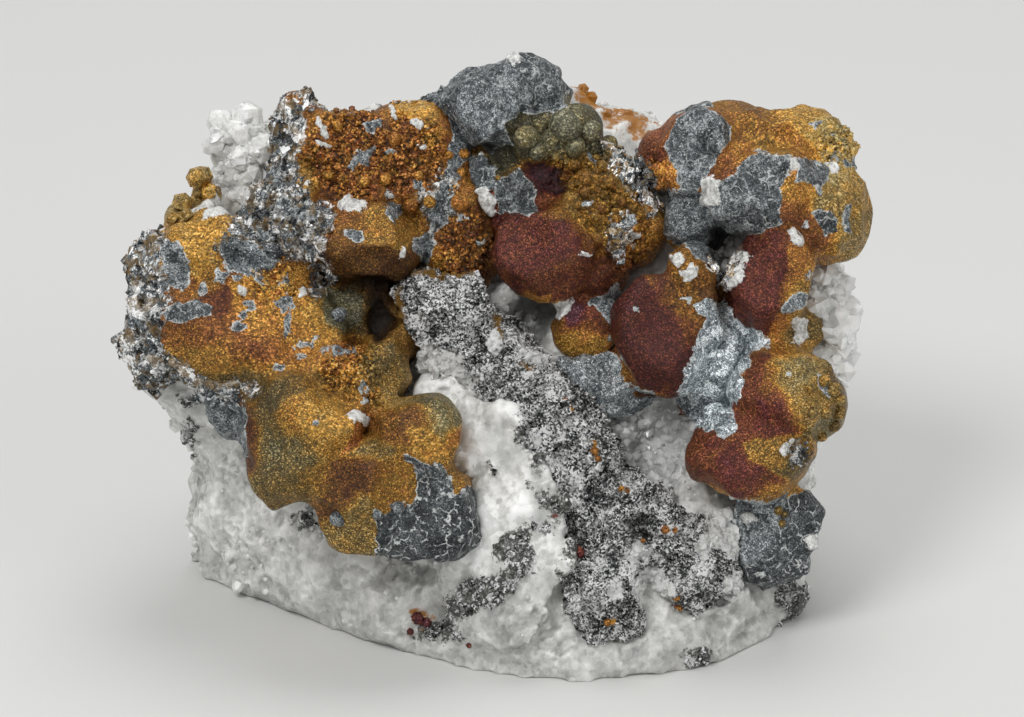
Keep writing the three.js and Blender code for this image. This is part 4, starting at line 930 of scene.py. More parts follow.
rightCrust = {
    "node": "right_chalcopyrite", "voxel": 0.44, "rounds": 2, "seed": 300, "coarse": 0.7, "grainShare": 0.3,
    "film": [
        (13.6, 35, 2.8, 4, 0.80, 0.55), (14.6, 31.6, 2.4, 2.6, 0.80, 0.55), (12, 39.4, 1.8, 1.2, 0.52, 0.7),
        (11.4, 31.6, 1.0, 2.4, 0.46, 0.8), (14, 28.8, 1.4, 1, 0.55, 0.8), (17.4, 38, 2.2, 2.4, 0.47, 0.44),
        (18.2, 41.2, 1.8, 2, 0.47, 0.72), (16.8, 35.2, 1.6, 1.2, 0.66, 0.7),
        (19, 38.6, 1.0, 1.6, 0.56, 0.28), (14.6, 54.6, 1.4, 1.4, 0.64, 1.3),
        (13.2, 52.8, 1.6, 1.4, 0.70, 0.7), (14.8, 50.4, 1.8, 1.2, 0.5, 1.6),
        (16.6, 49.6, 1.2, 0.8, 0.52, 0.85), (22, 56, 1.8, 1, 0.50, 0.8), (24.6, 55, 2.2, 1.6, 0.46, 0.56),
        (22.6, 53, 1.4, 1, 0.5, 0.95), (21, 51, 1.2, 1.2, 0.60, 0.75), (26.4, 53.6, 2, 1, 0.36, 0.7),
        (28.6, 56, 1.8, 1.6, 0.34, 1.4), (27.6, 54.6, 1.2, 1.4, 0.56, 0.9), (31, 54.4, 2, 1.2, 0.22, 2.4),
        (33.6, 52.4, 1.6, 1.6, 0.22, 2.6), (29, 53.4, 1.6, 1, 0.50, 0.85),
        (28.8, 48.4, 1.4, 1.4, 0.46, 1.15), (28.2, 46.2, 1.4, 1.6, 0.62, 0.75),
        (30.4, 43.6, 2, 1.4, 0.60, 0.7), (32, 48, 1.8, 1.2, 0.25, 1.35), (34.6, 48, 1.2, 2.6, 0.29, 1.15),
        (34, 43.6, 1.4, 2, 0.25, 1.25), (31.6, 42.4, 1.8, 0.8, 0.42, 0.7), (26.6, 44, 1.6, 1.4, 0.66, 0.66),
        (28.4, 42.6, 1.2, 1.2, 0.5, 1.2), (25, 41, 1.8, 2.4, 0.80, 0.68), (24.2, 37.6, 1.6, 2, 0.90, 0.8),
        (22.9, 36.9, 0.8, 0.9, 0.98, 1.3), (27.6, 39.4, 1.6, 1.2, 0.66, 0.75),
        (28.8, 38.6, 1.2, 1.6, 0.32, 0.9), (26.6, 35.6, 1.6, 1, 0.54, 1.2),
        (28.8, 34.8, 1.2, 1.2, 0.26, 0.8), (27.4, 33.4, 2, 0.9, 0.48, 0.95),
        (28.6, 30.8, 2.2, 1.8, 0.2, 1.5), (30, 28, 2.4, 1.6, 0.3, 1.1), (33, 29, 1.2, 2, 0.28, 0.6),
        (32.4, 25.6, 1.4, 1.2, 0.14, 1.2), (25.4, 30.4, 1.2, 2, 0.54, 0.65),
        (25.6, 26.8, 1.8, 1.6, 0.76, 0.85), (24, 24.2, 1.6, 1, 0.72, 0.6), (18.4, 24.6, 1.2, 2, 0.64, 0.9),
        (19, 21.6, 1.4, 1.6, 0.67, 0.85), (21.6, 23.6, 1.2, 1.2, 0.76, 0.5), (26, 23, 3, 0.9, 0.38, 0.72),
        (22.4, 20.4, 1.8, 1.0, 0.84, 0.75), (25.4, 19.8, 1.6, 0.8, 0.68, 0.85),
        (20.2, 18.6, 1.2, 0.7, 0.44, 1.05), (28.2, 21, 1.6, 1, 0.22, 0.65),
        (29.6, 19.6, 1.4, 0.7, 0.42, 0.85), (26.6, 18.7, 1.6, 0.6, 0.44, 0.9),
    ],
    "patches": {
        "darkRed": (0.80, 0.56, [(10.4, 39.2), (11.3, 40.5), (12.8, 40.7), (14.4, 38.9), (15, 37),
                                 (16.5, 36.1), (17.2, 34.9), (16.9, 32.8), (16.2, 29.5), (13.8, 28.4),
                                 (12.8, 29.8), (11.8, 31.3), (10.4, 32.8), (10.1, 35.8)]),
        "middleRed": (0.77, 0.76, [(21.9, 36.4), (21.4, 38.2), (23.7, 40.7), (24.6, 43.1), (24.9, 44.3),
                                   (26.1, 45), (27.6, 43.7), (27.9, 41.9), (27.6, 40.4), (26.7, 39.5),
                                   (26.6, 37), (26.1, 35.2), (25.5, 34.3), (23.7, 34.6)]),
        "lowerRed": (0.69, 0.85, [(17.4, 26.2), (16.8, 24), (17.2, 21), (18.6, 19.4), (20.4, 18.9),
                                  (24.9, 19), (25.2, 20.1), (23.4, 22.2), (22.8, 23.7), (24.9, 24.5),
                                  (26.4, 25.9), (26.3, 27.7), (24.6, 28.9), (25.2, 31), (26.1, 32.8),
                                  (24.9, 33), (23.7, 31.9), (23.1, 30.1), (22.8, 28), (22.1, 26.5),
                                  (22.4, 25), (21.3, 24.5), (19.5, 25.3)]),
        "plum": (0.80, 0.85, [(20.6, 22.4), (21.8, 23.6), (22.8, 22.4), (24.4, 20.6), (24.6, 19.6),
                              (21.4, 19.4), (20.4, 20.6)]),
        "plumHigh": (0.80, 1.0, [(24, 25.4), (25.8, 25.6), (26.2, 27.2), (24.8, 28.4), (24.2, 27)]),
        "tanBand": (0.38, 0.72, [(22.8, 23.7), (24.9, 24.4), (27.3, 24), (27.9, 22.8), (27.3, 21),
                                 (26.1, 21.3), (24.9, 21.6), (23.7, 22.2)]),
        "goldTip": (0.44, 1.35, [(18.3, 19.5), (20.1, 17.2), (21.2, 18), (20.1, 19.2)]),
    },
    "plates": {
        "flat": [(16.2, 56.4), (17.4, 57.8), (19.6, 57.4), (22, 55.5), (21.9, 53.8), (20, 51.4),
                 (18.4, 48.9), (16.8, 49.6), (15.5, 52.1), (15.4, 53.9)],
        "coat": [(22.4, 51.2), (23.5, 52.4), (24.6, 53.3), (25.8, 52.9), (27.7, 52.5), (28.1, 51.5),
                 (27.7, 50.6), (27, 49.4), (26.8, 46), (25, 44.6), (22.3, 44.8), (21, 46.6), (21, 49.4)],
        "coatTail": [(28.3, 51.7), (29.4, 52), (30.6, 52.2), (31.7, 51.5), (31.9, 50.7), (31, 49.6),
                     (30.6, 48.5), (29.8, 49.5), (28.2, 49.9)],
        "outer": [(30, 46.8), (30.9, 47.2), (32.8, 46), (32.7, 44.8), (31.5, 44.5), (30.4, 45.7)],
        "outerStrip": [(33.6, 47.6), (34.5, 47.7), (34.2, 46.2), (34.2, 44.6), (33.3, 44.8), (33.3, 46.4)],
        "onMiddle": [(27, 37.5), (28.6, 38.8), (29.5, 38.5), (29, 37.1), (28.2, 36.3), (27.1, 36.5)],
        "onSaddle": [(18.2, 37.4), (19.4, 38.2), (20.4, 37.4), (20.6, 36), (19.2, 36.2)],
        "rimNotch": [(30.6, 31), (31.6, 30.2), (32.4, 29), (31.8, 28.2), (30.8, 29.4)],
        "crust": [(2.4, 34), (5.4, 34.4), (6.5, 32.8), (9.5, 33.3), (10.4, 32.2), (10.5, 30.2),
                  (11.6, 29.2), (14.2, 28.6), (15, 25.6), (8, 25.4), (2.6, 27)],
        "lump": [(15, 47.8), (15, 49.2), (17, 49.4), (18.3, 49.6), (19.5, 48.4), (20.8, 48.3), (21.2, 46.6),
                 (22.3, 45.4), (22.4, 43.6), (20, 42), (18, 42.8), (16, 44), (14.6, 45.6)],
        "septum": [(21.3, 38.4), (21.9, 37), (22.9, 35), (24.4, 34.8), (25.8, 34), (24, 32.6), (23.3, 30.8),
                   (23.3, 29.6), (23, 28.2), (22.2, 27.2), (22.4, 25.2), (21.2, 24), (20.2, 25),
                   (18.4, 25.2), (17, 26.7), (16.5, 28.7), (16.9, 31), (18.2, 33.9), (19.6, 36.3)],
        "foot": [(19.4, 17), (20.9, 16.8), (22.1, 18.4), (24.4, 18.1), (27, 18.4), (29, 18.9), (31.4, 20.6),
                 (32.4, 14), (30, 8.4), (26, 7), (20, 10)],
    },
    "chips": [(32.3, 52.4, 0.4, 0.4), (33.9, 51.6, 0.5, 0.5), (30.4, 55.7, 0.4, 0.3),
              (32.1, 54.4, 0.4, 0.3), (17.6, 38.2, 0.55, 0.4), (12.5, 36.9, 0.25, 0.25),
              (29.6, 40.4, 0.3, 0.6), (27.6, 30.5, 0.3, 0.3), (29.3, 45.6, 0.3, 0.3)],
    "silver": {
        "leftLump": [(11.6, 52), (13, 52.4), (14.6, 50.8), (14.8, 48.4), (13, 46), (12, 48)],
        "pit": [(27.4, 23.4), (28.6, 23.9), (29.8, 23.2), (29.4, 21.6), (28.2, 21.2), (27.5, 22.2)],
        "slot": [(19.4, 42), (21, 44.6), (23, 44.4), (22.4, 41), (21, 39.6)],
    },
    "white": {
        "knob1": [(16.0, 42.4), (17.0, 42.6), (17.3, 41.9), (16.8, 41.2), (16.1, 41.6)],
        "knob2": [(16.9, 40.9), (17.5, 41.2), (18.1, 42.0), (18.6, 41.4), (18.4, 40.2), (17.2, 39.8)],
        "notch": [(27.7, 51.9), (28.3, 51.9), (28.4, 51), (27.8, 51)],
        "notch2": [(31.6, 51.8), (32.5, 51.8), (32.7, 50.9), (31.8, 50.8)],
        "tooth": [(27.4, 44.8), (27.9, 44.9), (28.9, 43.6), (28.6, 43.3), (27.8, 43.9)],
        "footChip": [(20.9, 18), (21.5, 18.1), (21.8, 17.2), (21.3, 16.6), (20.8, 17.2)],
        "pitRim": [(27.0, 23.6), (28.0, 24.2), (27.9, 23.7), (27.3, 22.2), (26.9, 22.4)],
        "quartzBit": [(18.9, 50), (20, 50.6), (21.2, 49.8), (21.2, 47.7), (20, 47.3), (18.9, 48.3)],
        "dots": [(12.6, 48.9), (13.6, 49), (13.4, 48.2), (12.7, 48.2)],
        "blade": [(23.2, 43), (24, 42.6), (23.4, 40.4), (22.4, 39), (21.9, 39.4), (22.4, 41.4)],
        "quartzEdge": [(28, 35.8), (29.8, 36.2), (30, 34.2), (28.4, 34)],
        "footBits": [(22.4, 16.4), (23.6, 16.9), (24.4, 16.2), (23.2, 15.4)],
        "footBit2": [(29.6, 14.4), (30.4, 14.6), (30.6, 13.2), (29.8, 13)],
    },
    "druse": [(32.6, 53.6, 2.4, 2), (14, 50, 1.6, 3)],
    "sparkly": [(26, 55, 4, 2), (32, 50, 3, 6), (17.6, 39, 2.6, 3)],
    "broken": [(20.4, 31.6, 3, 6, -16), (24.6, 13, 3, 4.4), (33, 48, 3, 8), (27, 56, 6, 2.4), (8, 29, 6, 3),
               (18.6, 46, 4, 4)],
    "pushed": [(1.5, (20.2, 31.4, 2.8, 6.4, -16)), (-0.8, (27.4, 13, 4, 5)), (0.6, (17.6, 19.6, 1.4, 2.4)),
               (-0.7, (30.6, 32.4, 1.6, 1.6))],
    "tone": [(18.6, 53.6, 3, 4, 1.05), (25, 48.6, 4, 4, 0.88), (20.2, 31, 2.6, 6, 3.7),
             (8, 31.6, 5, 1.4, 2.1), (8, 28, 6, 1.4, 2.3), (23, 15.6, 2.2, 3, 1.6), (29, 13, 1.6, 5, 0.7),
             (26, 9, 3, 2, 0.6), (18.4, 46.6, 3, 3, 1.35)],
    "shade": [(20.8, 43, 1.8, 2.4), (24, 47.6, 1, 0.14, 30)],
}

# mm by which a patch's edge strays, mm between its bends, and what is added to the seed
edges = {
    "loose": (0.45, 1.6, 0),
    "crisp": (0.22, 0.9, 20),
    "cloudy": (0.5, 2.4, 40),
    "ragged": (0.34, 0.55, 80),
}

# mm across the forms that are added to a crust; a flat also has the radius of the ball that it flattens
crustRelief = {
    "blisterFlat": (5.4, 6.5),
    "swell": 4.0,
    "brokenFlat": (2.2, 2.4),
    "knob": 1.0,
    "knobSwell": 2.0,
    "plateFlat": (1.7, 2.6),
    "leafFlat": (1.5, 1.3),
    "leafFacet": 0.7,
    "whiteFlat": (0.9, 0.7),
}


def layers(face):  # the leaves of the silvery metal wrap the lobe at the left and stand upright elsewhere
    around = np.hypot(face[:, 0] + 27, (face[:, 1] - 37) * 0.8)
    upright = face[:, 0] * 0.9 - face[:, 1] * 0.35
    high = smoothStep(face[:, 1], 43, 47)
    return (around * (1 - high) + upright * high) * 3.2 + waves(face, 3.0, 90) * 1.5


def leavesRun(face):  # and the way they run
    wrapped = np.stack([37 - face[:, 1], face[:, 0] + 27, face[:, 0] * 0], axis=1)
    wrapped /= np.linalg.norm(wrapped, axis=1, keepdims=True)
    return np.where(face[:, 1:2] < 45, wrapped, (0.35, 0.9, 0)) @ np.array(faceTurn).T


def zonesOf(face, normals, look):  # the attributes of a mass, by name
    loose, crisp, cloudy, ragged = (strayed(face, far, grain, look["seed"] + more)
                                    for far, grain, more in edges.values())
    film = blended(cloudy, look["film"], 0)
    light = blended(cloudy, look["film"], 1)
    for thickness, lightness, outline in look["patches"].values():
        share = smoothStep(insideOutlines(crisp, [outline]), -0.15, 0.2)
        film = film + (thickness - film) * share
        light = light + (lightness - light) * share
    druse = smoothStep(insideOvals(loose, look["druse"]), -0.2, 1.0)
    sparkly = smoothStep(insideOvals(loose, look["sparkly"]), -0.5, 1.0)
    away = 3 * smoothStep(normals @ np.array(faceTurn)[:, 2], 0.1, -0.2)  # small patches stay in front
    return {
        "film": film,
        "light": light,
        "coarse": np.maximum(druse * look["coarse"], sparkly * 0.7),
        "plate": np.maximum(insideOutlines(crisp, look["plates"].values()),
                            insideOvals(ragged, look["chips"]) - away),
        "silver": insideOutlines(loose, look["silver"].values()),
        "white": insideOutlines(crisp, look["white"].values()) - away,
        "tone": blended(loose, look["tone"], 0),
        "druse": druse,
        "lay": layers(face),
        "shade": smoothStep(insideOvals(loose, look["shade"]), 0.0, 0.9) * 0.9,
    }


def dressMass(name, look):  # a mass with its knobs, raised plates, leaves and white bits
    seed = look["seed"]
    piece = roundedCopy(name, look["node"], look["voxel"], look["rounds"])
    crease = creased(piece, 14)
    points, normals = pointsOf(piece.data)
    face = toFace(points)
    zones = zonesOf(face, normals, look)
    raised = smoothStep(zones["plate"], -0.05, 0.15)
    white = smoothStep(zones["white"], -0.1, 0.15)
    rough = smoothStep(zones["silver"], -0.1, 0.5)
    bare = (1 - raised) * (1 - white)
    broken = smoothStep(insideOvals(strayed(face, 0.3, 1.6, seed + 60), look["broken"]), -0.3, 0.8)
    gap, middle = cells(face, crustRelief["knob"], seed + 5)[1:]
    knobs = 0.55 * smoothStep(gap, 0, 0.6) - 0.3 + 0.5 * waves(face, crustRelief["knobSwell"], seed + 6)
    pushed = sum(far * smoothStep(insideOvals(seenFromFront(face), [oval]), -0.4, 1.4)
                 for far, oval in look["pushed"])
    base = flats(face, *crustRelief["blisterFlat"], seed)
    base = base + 0.25 * waves(face, crustRelief["swell"], seed + 2)
    chipped = broken * flats(face, *crustRelief["brokenFlat"], seed + 4)
    push(piece, (base - 0.15 + pushed) * (1 - 0.5 * zones["druse"]) + chipped, 5)
    plates = 0.1 + flats(face, *crustRelief["plateFlat"], seed + 7)
    leaves = flats(face, *crustRelief["leafFlat"], seed + 8)
    leaves = leaves + 0.14 * facets(face, crustRelief["leafFacet"], seed + 9)
    ridges = np.sin(1.3 * zones["lay"])
    height = zones["druse"] * bare * knobs + raised * plates
    height = height + rough * bare * leaves
    height = height + rough * bare * 0.2 * ridges
    height = height + white * (0.35 + flats(face, *crustRelief["whiteFlat"], seed + 11))
    push(piece, height - 0.6 * zones["shade"], 1)
    # pale dust on the plates' edges, and knobs that differ in tone, with painted shade in the pits between
    # them
    zones["dust"] = smoothStep(-creased(piece, 8), 0.05, 0.12) * raised * 0.6
    knob = np.round(middle * 97)
    zones["light"] = zones["light"] * (1 + zones["druse"] * bare * (hashed(knob, seed + 70) - 0.45))
    zones["film"] = zones["film"] + zones["druse"] * bare * (hashed(knob, seed + 71) - 0.5) * 0.14
    # painted shade: in the pits between knobs, and in the creases under the worn-down form, less on the
    # silvery leaves
    pitShade = smoothStep(gap, 0.28, 0.0) * zones["druse"] * bare * 0.55
    wornFormAndCreaseShade = smoothStep(crease - np.maximum(pushed, 0), 0.25, 1.1) * (0.75 - 0.5 * rough * bare)
    zones["shade"] = np.maximum(zones["shade"], np.maximum(wornFormAndCreaseShade, pitShade))
    keep(piece, zones)
    finish(piece, chalcopyriteSkin, look["node"])
    return piece


leftPiece = dressMass("left_blisters", leftCrust)
crownPiece = dressMass("crown_blisters", crownCrust)
rightPiece = dressMass("right_blisters", rightCrust)
print("masses dressed")

grains = {
    "druse": 2800,
    "metal": 1700,
    "smallest": 0.3,  # mm
    "largest": 0.9,
    "scale": (0.8, 1.5, 0.35),  # how wide, long and thick the scales of the silvery metal are
}


def strewGrains(name, host, look, share, count, kind, seed):
    # crystal grains that stand on a mass where share, a function of its zones, says
    def likely(face, normal):
        return share(zonesOf(face, normal, look))

    points, normals, dice = placesOn(host, count, likely, seed)
    spread = grains["largest"] - grains["smallest"]
    sizes = grains["smallest"] + spread * dice.random((count, 1)) ** 2
    sizes = sizes * dice.uniform(0.7, 1.25, (count, 3))
    tilt, along = 0.8, 0
    if kind == "block":  # scales that lie along the leaves
        sizes *= grains["scale"]
        tilt, along = 0.2, 2.5 * leavesRun(toFace(points))
    piece, corners = strewn(name, kind, points, normals, sizes, tilt, dice, along)
    zones = zonesOf(toFace(points), normals, look)
    zones["light"] = zones["light"] * dice.uniform(0.6, 1.5, count)
    zones["film"] = zones["film"] + dice.normal(size=count) * 0.04
    keepStrewn(piece, zones, corners)
    finish(piece, chalcopyriteSkin, smooth=False)


def druseShare(zones):
    free = smoothStep(zones["plate"], 0.1, -0.2) * smoothStep(zones["white"], 0.1, -0.2)
    return zones["druse"] * free * smoothStep(zones["silver"], 0.3, -0.3)


def metalShare(zones):
    return smoothStep(zones["silver"], -0.2, 0.3)


for name, host, look in (("left", leftPiece, leftCrust), ("crown", crownPiece, crownCrust),
                         ("right", rightPiece, rightCrust)):
    druseCount, metalCount = (int(grains[kind] * look["grainShare"]) for kind in ("druse", "metal"))
    strewGrains(name + "_druse", host, look, druseShare, druseCount, "grain", look["seed"] + 1)
    strewGrains(name + "_flakes", host, look, metalShare, metalCount, "block", look["seed"] + 2)
print("grains strewn")

veinForm = {
    "voxel": 0.42, "rounds": 2, "seed": 400,
    # how many grains, and how many larger cleavage pieces
    "grains": 4200, "cleaved": 160,
    # mm across the forms that are added to it; the flat also has the radius that it flattens
    "relief": {"swell": 3.4, "flat": (3.0, 2.4), "facet": 1.5, "sparkle": 0.7},
    "rib": [(-10.6, 33.4), (-8.6, 33.2), (-5.7, 32.8), (-3.9, 29.7), (-3.5, 27.3), (-2.5, 25.9),
            (-1.1, 23.5), (0.7, 21.2), (1.8, 19.6), (2.6, 17.6), (1, 17), (-4, 22), (-9, 27), (-11, 31)],
    "white": [(-1.6, 33.8, 0.8, 1.2), (1.6, 32.4, 1.6, 0.6, -20), (12.4, 12.6, 1.2, 1.2),
              (14, 9.2, 2.0, 2.2), (2.6, 24, 0.5, 0.5), (21.6, 15.6, 2.2, 4.2, 28), (19.3, 13.4, 0.9, 1.2),
              (16.6, 18.4, 0.8, 0.5), (10.4, 9, 0.7, 1.4), (-1.4, 27, 0.8, 1.4, -30),
              (17.4, 21, 2.4, 1.4, -35), (3.4, 20.6, 0.7, 1.6, -20), (22.4, 9.4, 1.2, 1.4)],
    "gold": [(-11.2, 36, 0.5, 4), (-7, 40.6, 4.0, 0.5), (-1.4, 35.4, 0.4, 1.8, 20),
             (1.6, 31.3, 1.3, 0.3, -15)],
    "shade": [(7.0, 8.4, 0.8, 4, 8), (12.8, 15.4, 1.2, 1.6), (4.6, 22.6, 0.4, 2), (20, 8.4, 1.4, 0.7)],
}


def veinZones(face, look):  # the attributes of the vein, by name
    crisp = strayed(face, 0.35, 0.9, look["seed"])
    loose = strayed(face, 0.8, 1.6, look["seed"] + 20)
    return {
        "white": np.maximum(insideOvals(crisp, look["white"]), insideOutlines(crisp, [look["rib"]])),
        "gold": insideOvals(crisp, look["gold"]),
        "shade": smoothStep(insideOvals(loose, look["shade"]), -0.1, 0.8) * 0.7,
    }


def dressVein(look):
    seed = look["seed"]
    piece = roundedCopy("sparkling_vein", "sulphide_vein", look["voxel"], look["rounds"])
    crease = creased(piece, 14)
    face = toFace(pointsOf(piece.data)[0])
    zones = veinZones(face, look)
    relief = look["relief"]
    height = 0.5 * waves(face, relief["swell"], seed) + flats(face, *relief["flat"], seed + 5)
    push(piece, height - 0.7 * zones["shade"], 2)
    height = 0.34 * facets(face, relief["facet"], seed + 6)
    height = height + 0.16 * facets(face, relief["sparkle"], seed + 7)
    push(piece, height)
    # painted shade in the creases, kept off the white quartz
    hollow = smoothStep(crease, 0.3, 1.2) * smoothStep(zones["white"], 0.3, -0.3)
    zones["shade"] = np.maximum(zones["shade"], hollow * 0.6)
    keep(piece, zones)
    finish(piece, sulphideSkin, "sulphide_vein")
    count = look["grains"] + look["cleaved"]
    points, normals, dice = placesOn(piece, count, lambda spot, normal: 1, seed + 9)
    sizes = dice.uniform(0.25, 0.65, (count, 1))
    sizes = sizes * dice.uniform((0.8, 0.7, 0.3), (1.5, 1.2, 0.7), (count, 3))
    sizes[:look["cleaved"]] *= 1.9
    flakes, corners = strewn("vein_flakes", "block", points, normals, sizes, 0.5, dice)
    keepStrewn(flakes, veinZones(toFace(points), look), corners)
    finish(flakes, sulphideSkin, smooth=False)
    return piece


veinPiece = dressVein(veinForm)
print("vein dressed")

quartz = {
    "voxel": 0.79, "rounds": 2, "seed": 500,
    # how many chips, flakes of ore and small crystals on the large ones
    "chips": 3200, "flakes": 800, "fine": 300,
    # mm across the forms that are added to it; a flat also has the radius that it flattens
    "relief": {
        "swell": 7.0,
        "flat": (5.0, 7.0),
        "facet": 2.6,
        "sugar": 1.1,
        "backSwell": 16,
        "backFlat": (11, 13),
    },
    "sugaryPatch": 5.0,  # mm between the patches where it is sugary
    "ore": [(1.4, 26.6, 0.5, 1.6, 15), (2.8, 22.6, 0.5, 2.2, 12), (4.2, 17.6, 0.5, 2, 18),
            (6, 13.2, 0.5, 1.6), (5, 10, 0.5, 1.6, 20), (-2.3, 21.6, 0.4, 1.0, 20),
            (2.4, 18.4, 0.5, 1.2, 30), (3.6, 15.4, 0.5, 1.0), (1.2, 24.6, 1.0, 1.8, 30),
            (0.6, 12.8, 1.4, 3, -18), (-3.4, 8.4, 4, 1.6, 28), (-7.4, 4.8, 2.6, 1.1), (19, 8.6, 2.6, 1.4),
            (28.2, 7.4, 1.8, 2.6), (-20.5, 15.8, 0.8, 1.0), (-32.2, 24.4, 0.6, 1.2), (18.6, 2, 2.0, 0.6),
            (-31, 27.6, 2, 0.8)],
    "rust": [(9.6, 57.4, 5.4, 1.2, -24), (-9.2, 6.4, 0.9, 0.7)],
    "red": [(6.5, 13, 0.7, 0.7), (4.3, 16.5, 0.4, 0.4)],
    "clear": [(-1.4, 23.6, 1.2, 4.4, 48), (2.8, 17, 1.2, 3, 20), (12.6, 24.4, 7, 5.6),
              (1.8, 36.6, 3.4, 4.4), (21, 42.6, 3, 4), (21.6, 13, 4, 4)],
    "shade": [(-13.6, 36, 3.4, 3), (20.6, 43, 2.4, 3), (1.8, 36.6, 3, 3.6)],
    # the quartz's own milky white, partly painted light where it lies in shade
    "milkyAndPaintedLight": [(-7.2, 29.8, 3.4, 4), (-3.6, 24, 2.6, 5, 40), (-2, 14, 4, 4), (0.6, 19, 2.4, 4, 30)],
    # x, y and width of the large crystals
    "large": [(-29.8, 55.4, 3.0), (-28.2, 54.2, 3.0), (-26.6, 55.6, 3.4), (-24.8, 56, 3.0),
              (-27, 52.6, 2.8), (-25.2, 53.2, 3.2), (-28.6, 51.6, 2.2), (-25.8, 50.6, 2.6),
              (-27.6, 49.6, 2.2), (-24.4, 51.2, 2.2), (-26.4, 48.2, 2.2), (-30.6, 53.6, 2.0),
              (-29.6, 50.2, 1.8), (-31, 56.2, 1.8)],
}


def quartzZones(face, look):  # the attributes of the quartz, by name
    seed = look["seed"]
    loose = strayed(face, 0.9, 1.6, seed)
    behind = face[:, 2] < -13  # the back has stains of its own
    # lighter where milky, partly painted light
    milkyAndPaintedLight = smoothStep(insideOvals(loose, look["milkyAndPaintedLight"]), -0.6, 1.4)
    # painted shade: the quartz is darker towards the bottom
    foot = smoothStep(face[:, 1], 14, 5)
    return {
        "ore": np.where(behind, waves(face, 4.5, seed + 60) - 1.05, insideOvals(loose, look["ore"])),
        "rust": np.where(behind, waves(face, 6.0, seed + 70) - 1.0, insideOvals(loose, look["rust"])),
        "red": insideOvals(strayed(face, 0.2, 0.6, seed + 30), look["red"]),
        "clear": smoothStep(insideOvals(loose, look["clear"]), -0.6, 1.2) * 0.75 * ~behind,
        "shade": smoothStep(insideOvals(loose, look["shade"]), -0.2, 1.2) * 0.7 * ~behind,
        "edge": 0.12 * milkyAndPaintedLight - 0.07 * foot,
    }


def dressQuartz(look):
    seed = look["seed"]
    piece = roundedCopy("vein_quartz", "quartz_matrix", look["voxel"], look["rounds"])
    points = pointsOf(piece.data)[0]
    face = toFace(points)
    lift = smoothStep(points[:, 2] / mm, 0.0, 1.5)  # the break it stands on stays flat
    sugary = smoothStep(waves(face, look["sugaryPatch"], seed + 12), -0.1, 0.5)
    relief = look["relief"]
    height = 0.8 * waves(face, relief["swell"], seed) + flats(face, *relief["flat"], seed + 5)
    height = height + 0.35 * facets(face, relief["facet"], seed + 6)
    behind = smoothStep(-face[:, 2], 9, 15)
    back = 1.2 * waves(face, relief["backSwell"], seed + 30) + flats(face, *relief["backFlat"], seed + 31)
    push(piece, (height + behind * back) * lift, 2)
    ore = smoothStep(quartzZones(face, look)["ore"], -0.2, 0.4)
    sugar = (0.05 + 0.22 * sugary + 0.2 * ore) * facets(face, relief["sugar"], seed + 7)
    push(piece, (sugar + 0.3 * ore) * lift)
    zones = quartzZones(face, look)
    # painted shade in the creases, and lighter on the ridges
    zones["edge"] = zones["edge"] + np.clip(-creased(piece, 12) * 0.6, -0.12, 0.15)
    keep(piece, zones)
    finish(piece, quartzSkin, "quartz_matrix")
    return piece


def strewChips(look, host):  # sugary chips on the upper parts
    seed, count = look["seed"], look["chips"]

    def sugaryShare(spot, normal):
        sugary = smoothStep(waves(spot, look["sugaryPatch"], seed + 12), -0.1, 0.7)
        return smoothStep(spot[:, 1], 3, 20) * sugary + 1e-6

    points, normals, dice = placesOn(host, count, sugaryShare, seed + 9)
    sizes = (0.3 + 1.1 * dice.random((count, 1)) ** 4) * dice.uniform(0.7, 1.3, (count, 3))
    points = points - normals * 0.35 * sizes[:, 2:] * mm
    chips, corners = strewn("quartz_chips", "point", points, normals, sizes, 0.8, dice)
    zones = quartzZones(toFace(points), look)
    zones["edge"] = dice.uniform(-0.04, 0.16, count)
    keepStrewn(chips, zones, corners)
    finish(chips, quartzSkin, smooth=False)


def strewOre(look, host):  # grey flakes where ore is left on the quartz
    seed, count = look["seed"], look["flakes"]

    def oreShare(spot, normal):
        return smoothStep(quartzZones(spot, look)["ore"], -0.1, 0.3) + 1e-9

    points, normals, dice = placesOn(host, count, oreShare, seed + 19)
    sizes = dice.uniform(0.25, 0.6, (count, 1))
    sizes = sizes * dice.uniform((0.8, 0.7, 0.3), (1.5, 1.2, 0.8), (count, 3))
    flakes, corners = strewn("ore_flakes", "block", points, normals, sizes, 0.5, dice)
    keepStrewn(flakes, {"white": -1, "gold": -1}, corners)
    finish(flakes, sulphideSkin, smooth=False)


def growCrystals(look, host):  # the cluster of large crystals, with small ones on them
    seed, count = look["seed"], look["fine"]
    points, normals = standOn(host, look["large"])
    dice = np.random.default_rng(seed + 29)
    sizes = np.array([[spot[2]] * 3 for spot in look["large"]]) * dice.uniform(0.7, 1.2, (len(points), 3))
    points = points - normals * 0.4 * sizes[:, 2:] * mm
    large, corners = strewn("large_crystals", "point", points, normals, sizes, 0.9, dice)
    keepStrewn(large, {"edge": 0.1, "ore": -1, "rust": -1, "red": -1}, corners)
    finish(large, quartzSkin, smooth=False)
    points, normals, dice = placesOn(large, count, lambda spot, normal: 1, seed + 39)
    sizes = (0.4 + 1.5 * dice.random((count, 1)) ** 3) * dice.uniform(0.6, 1.2, (count, 3))
    points = points - normals * 0.6 * sizes[:, 2:] * mm
    fine = strewn("fine_crystals", "point", points, normals, sizes, 0.5, dice)[0]
    finish(fine, crystalSkin, smooth=False)


quartzPiece = dressQuartz(quartz)
strewChips(quartz, quartzPiece)
strewOre(quartz, quartzPiece)
growCrystals(quartz, quartzPiece)
print("quartz dressed")

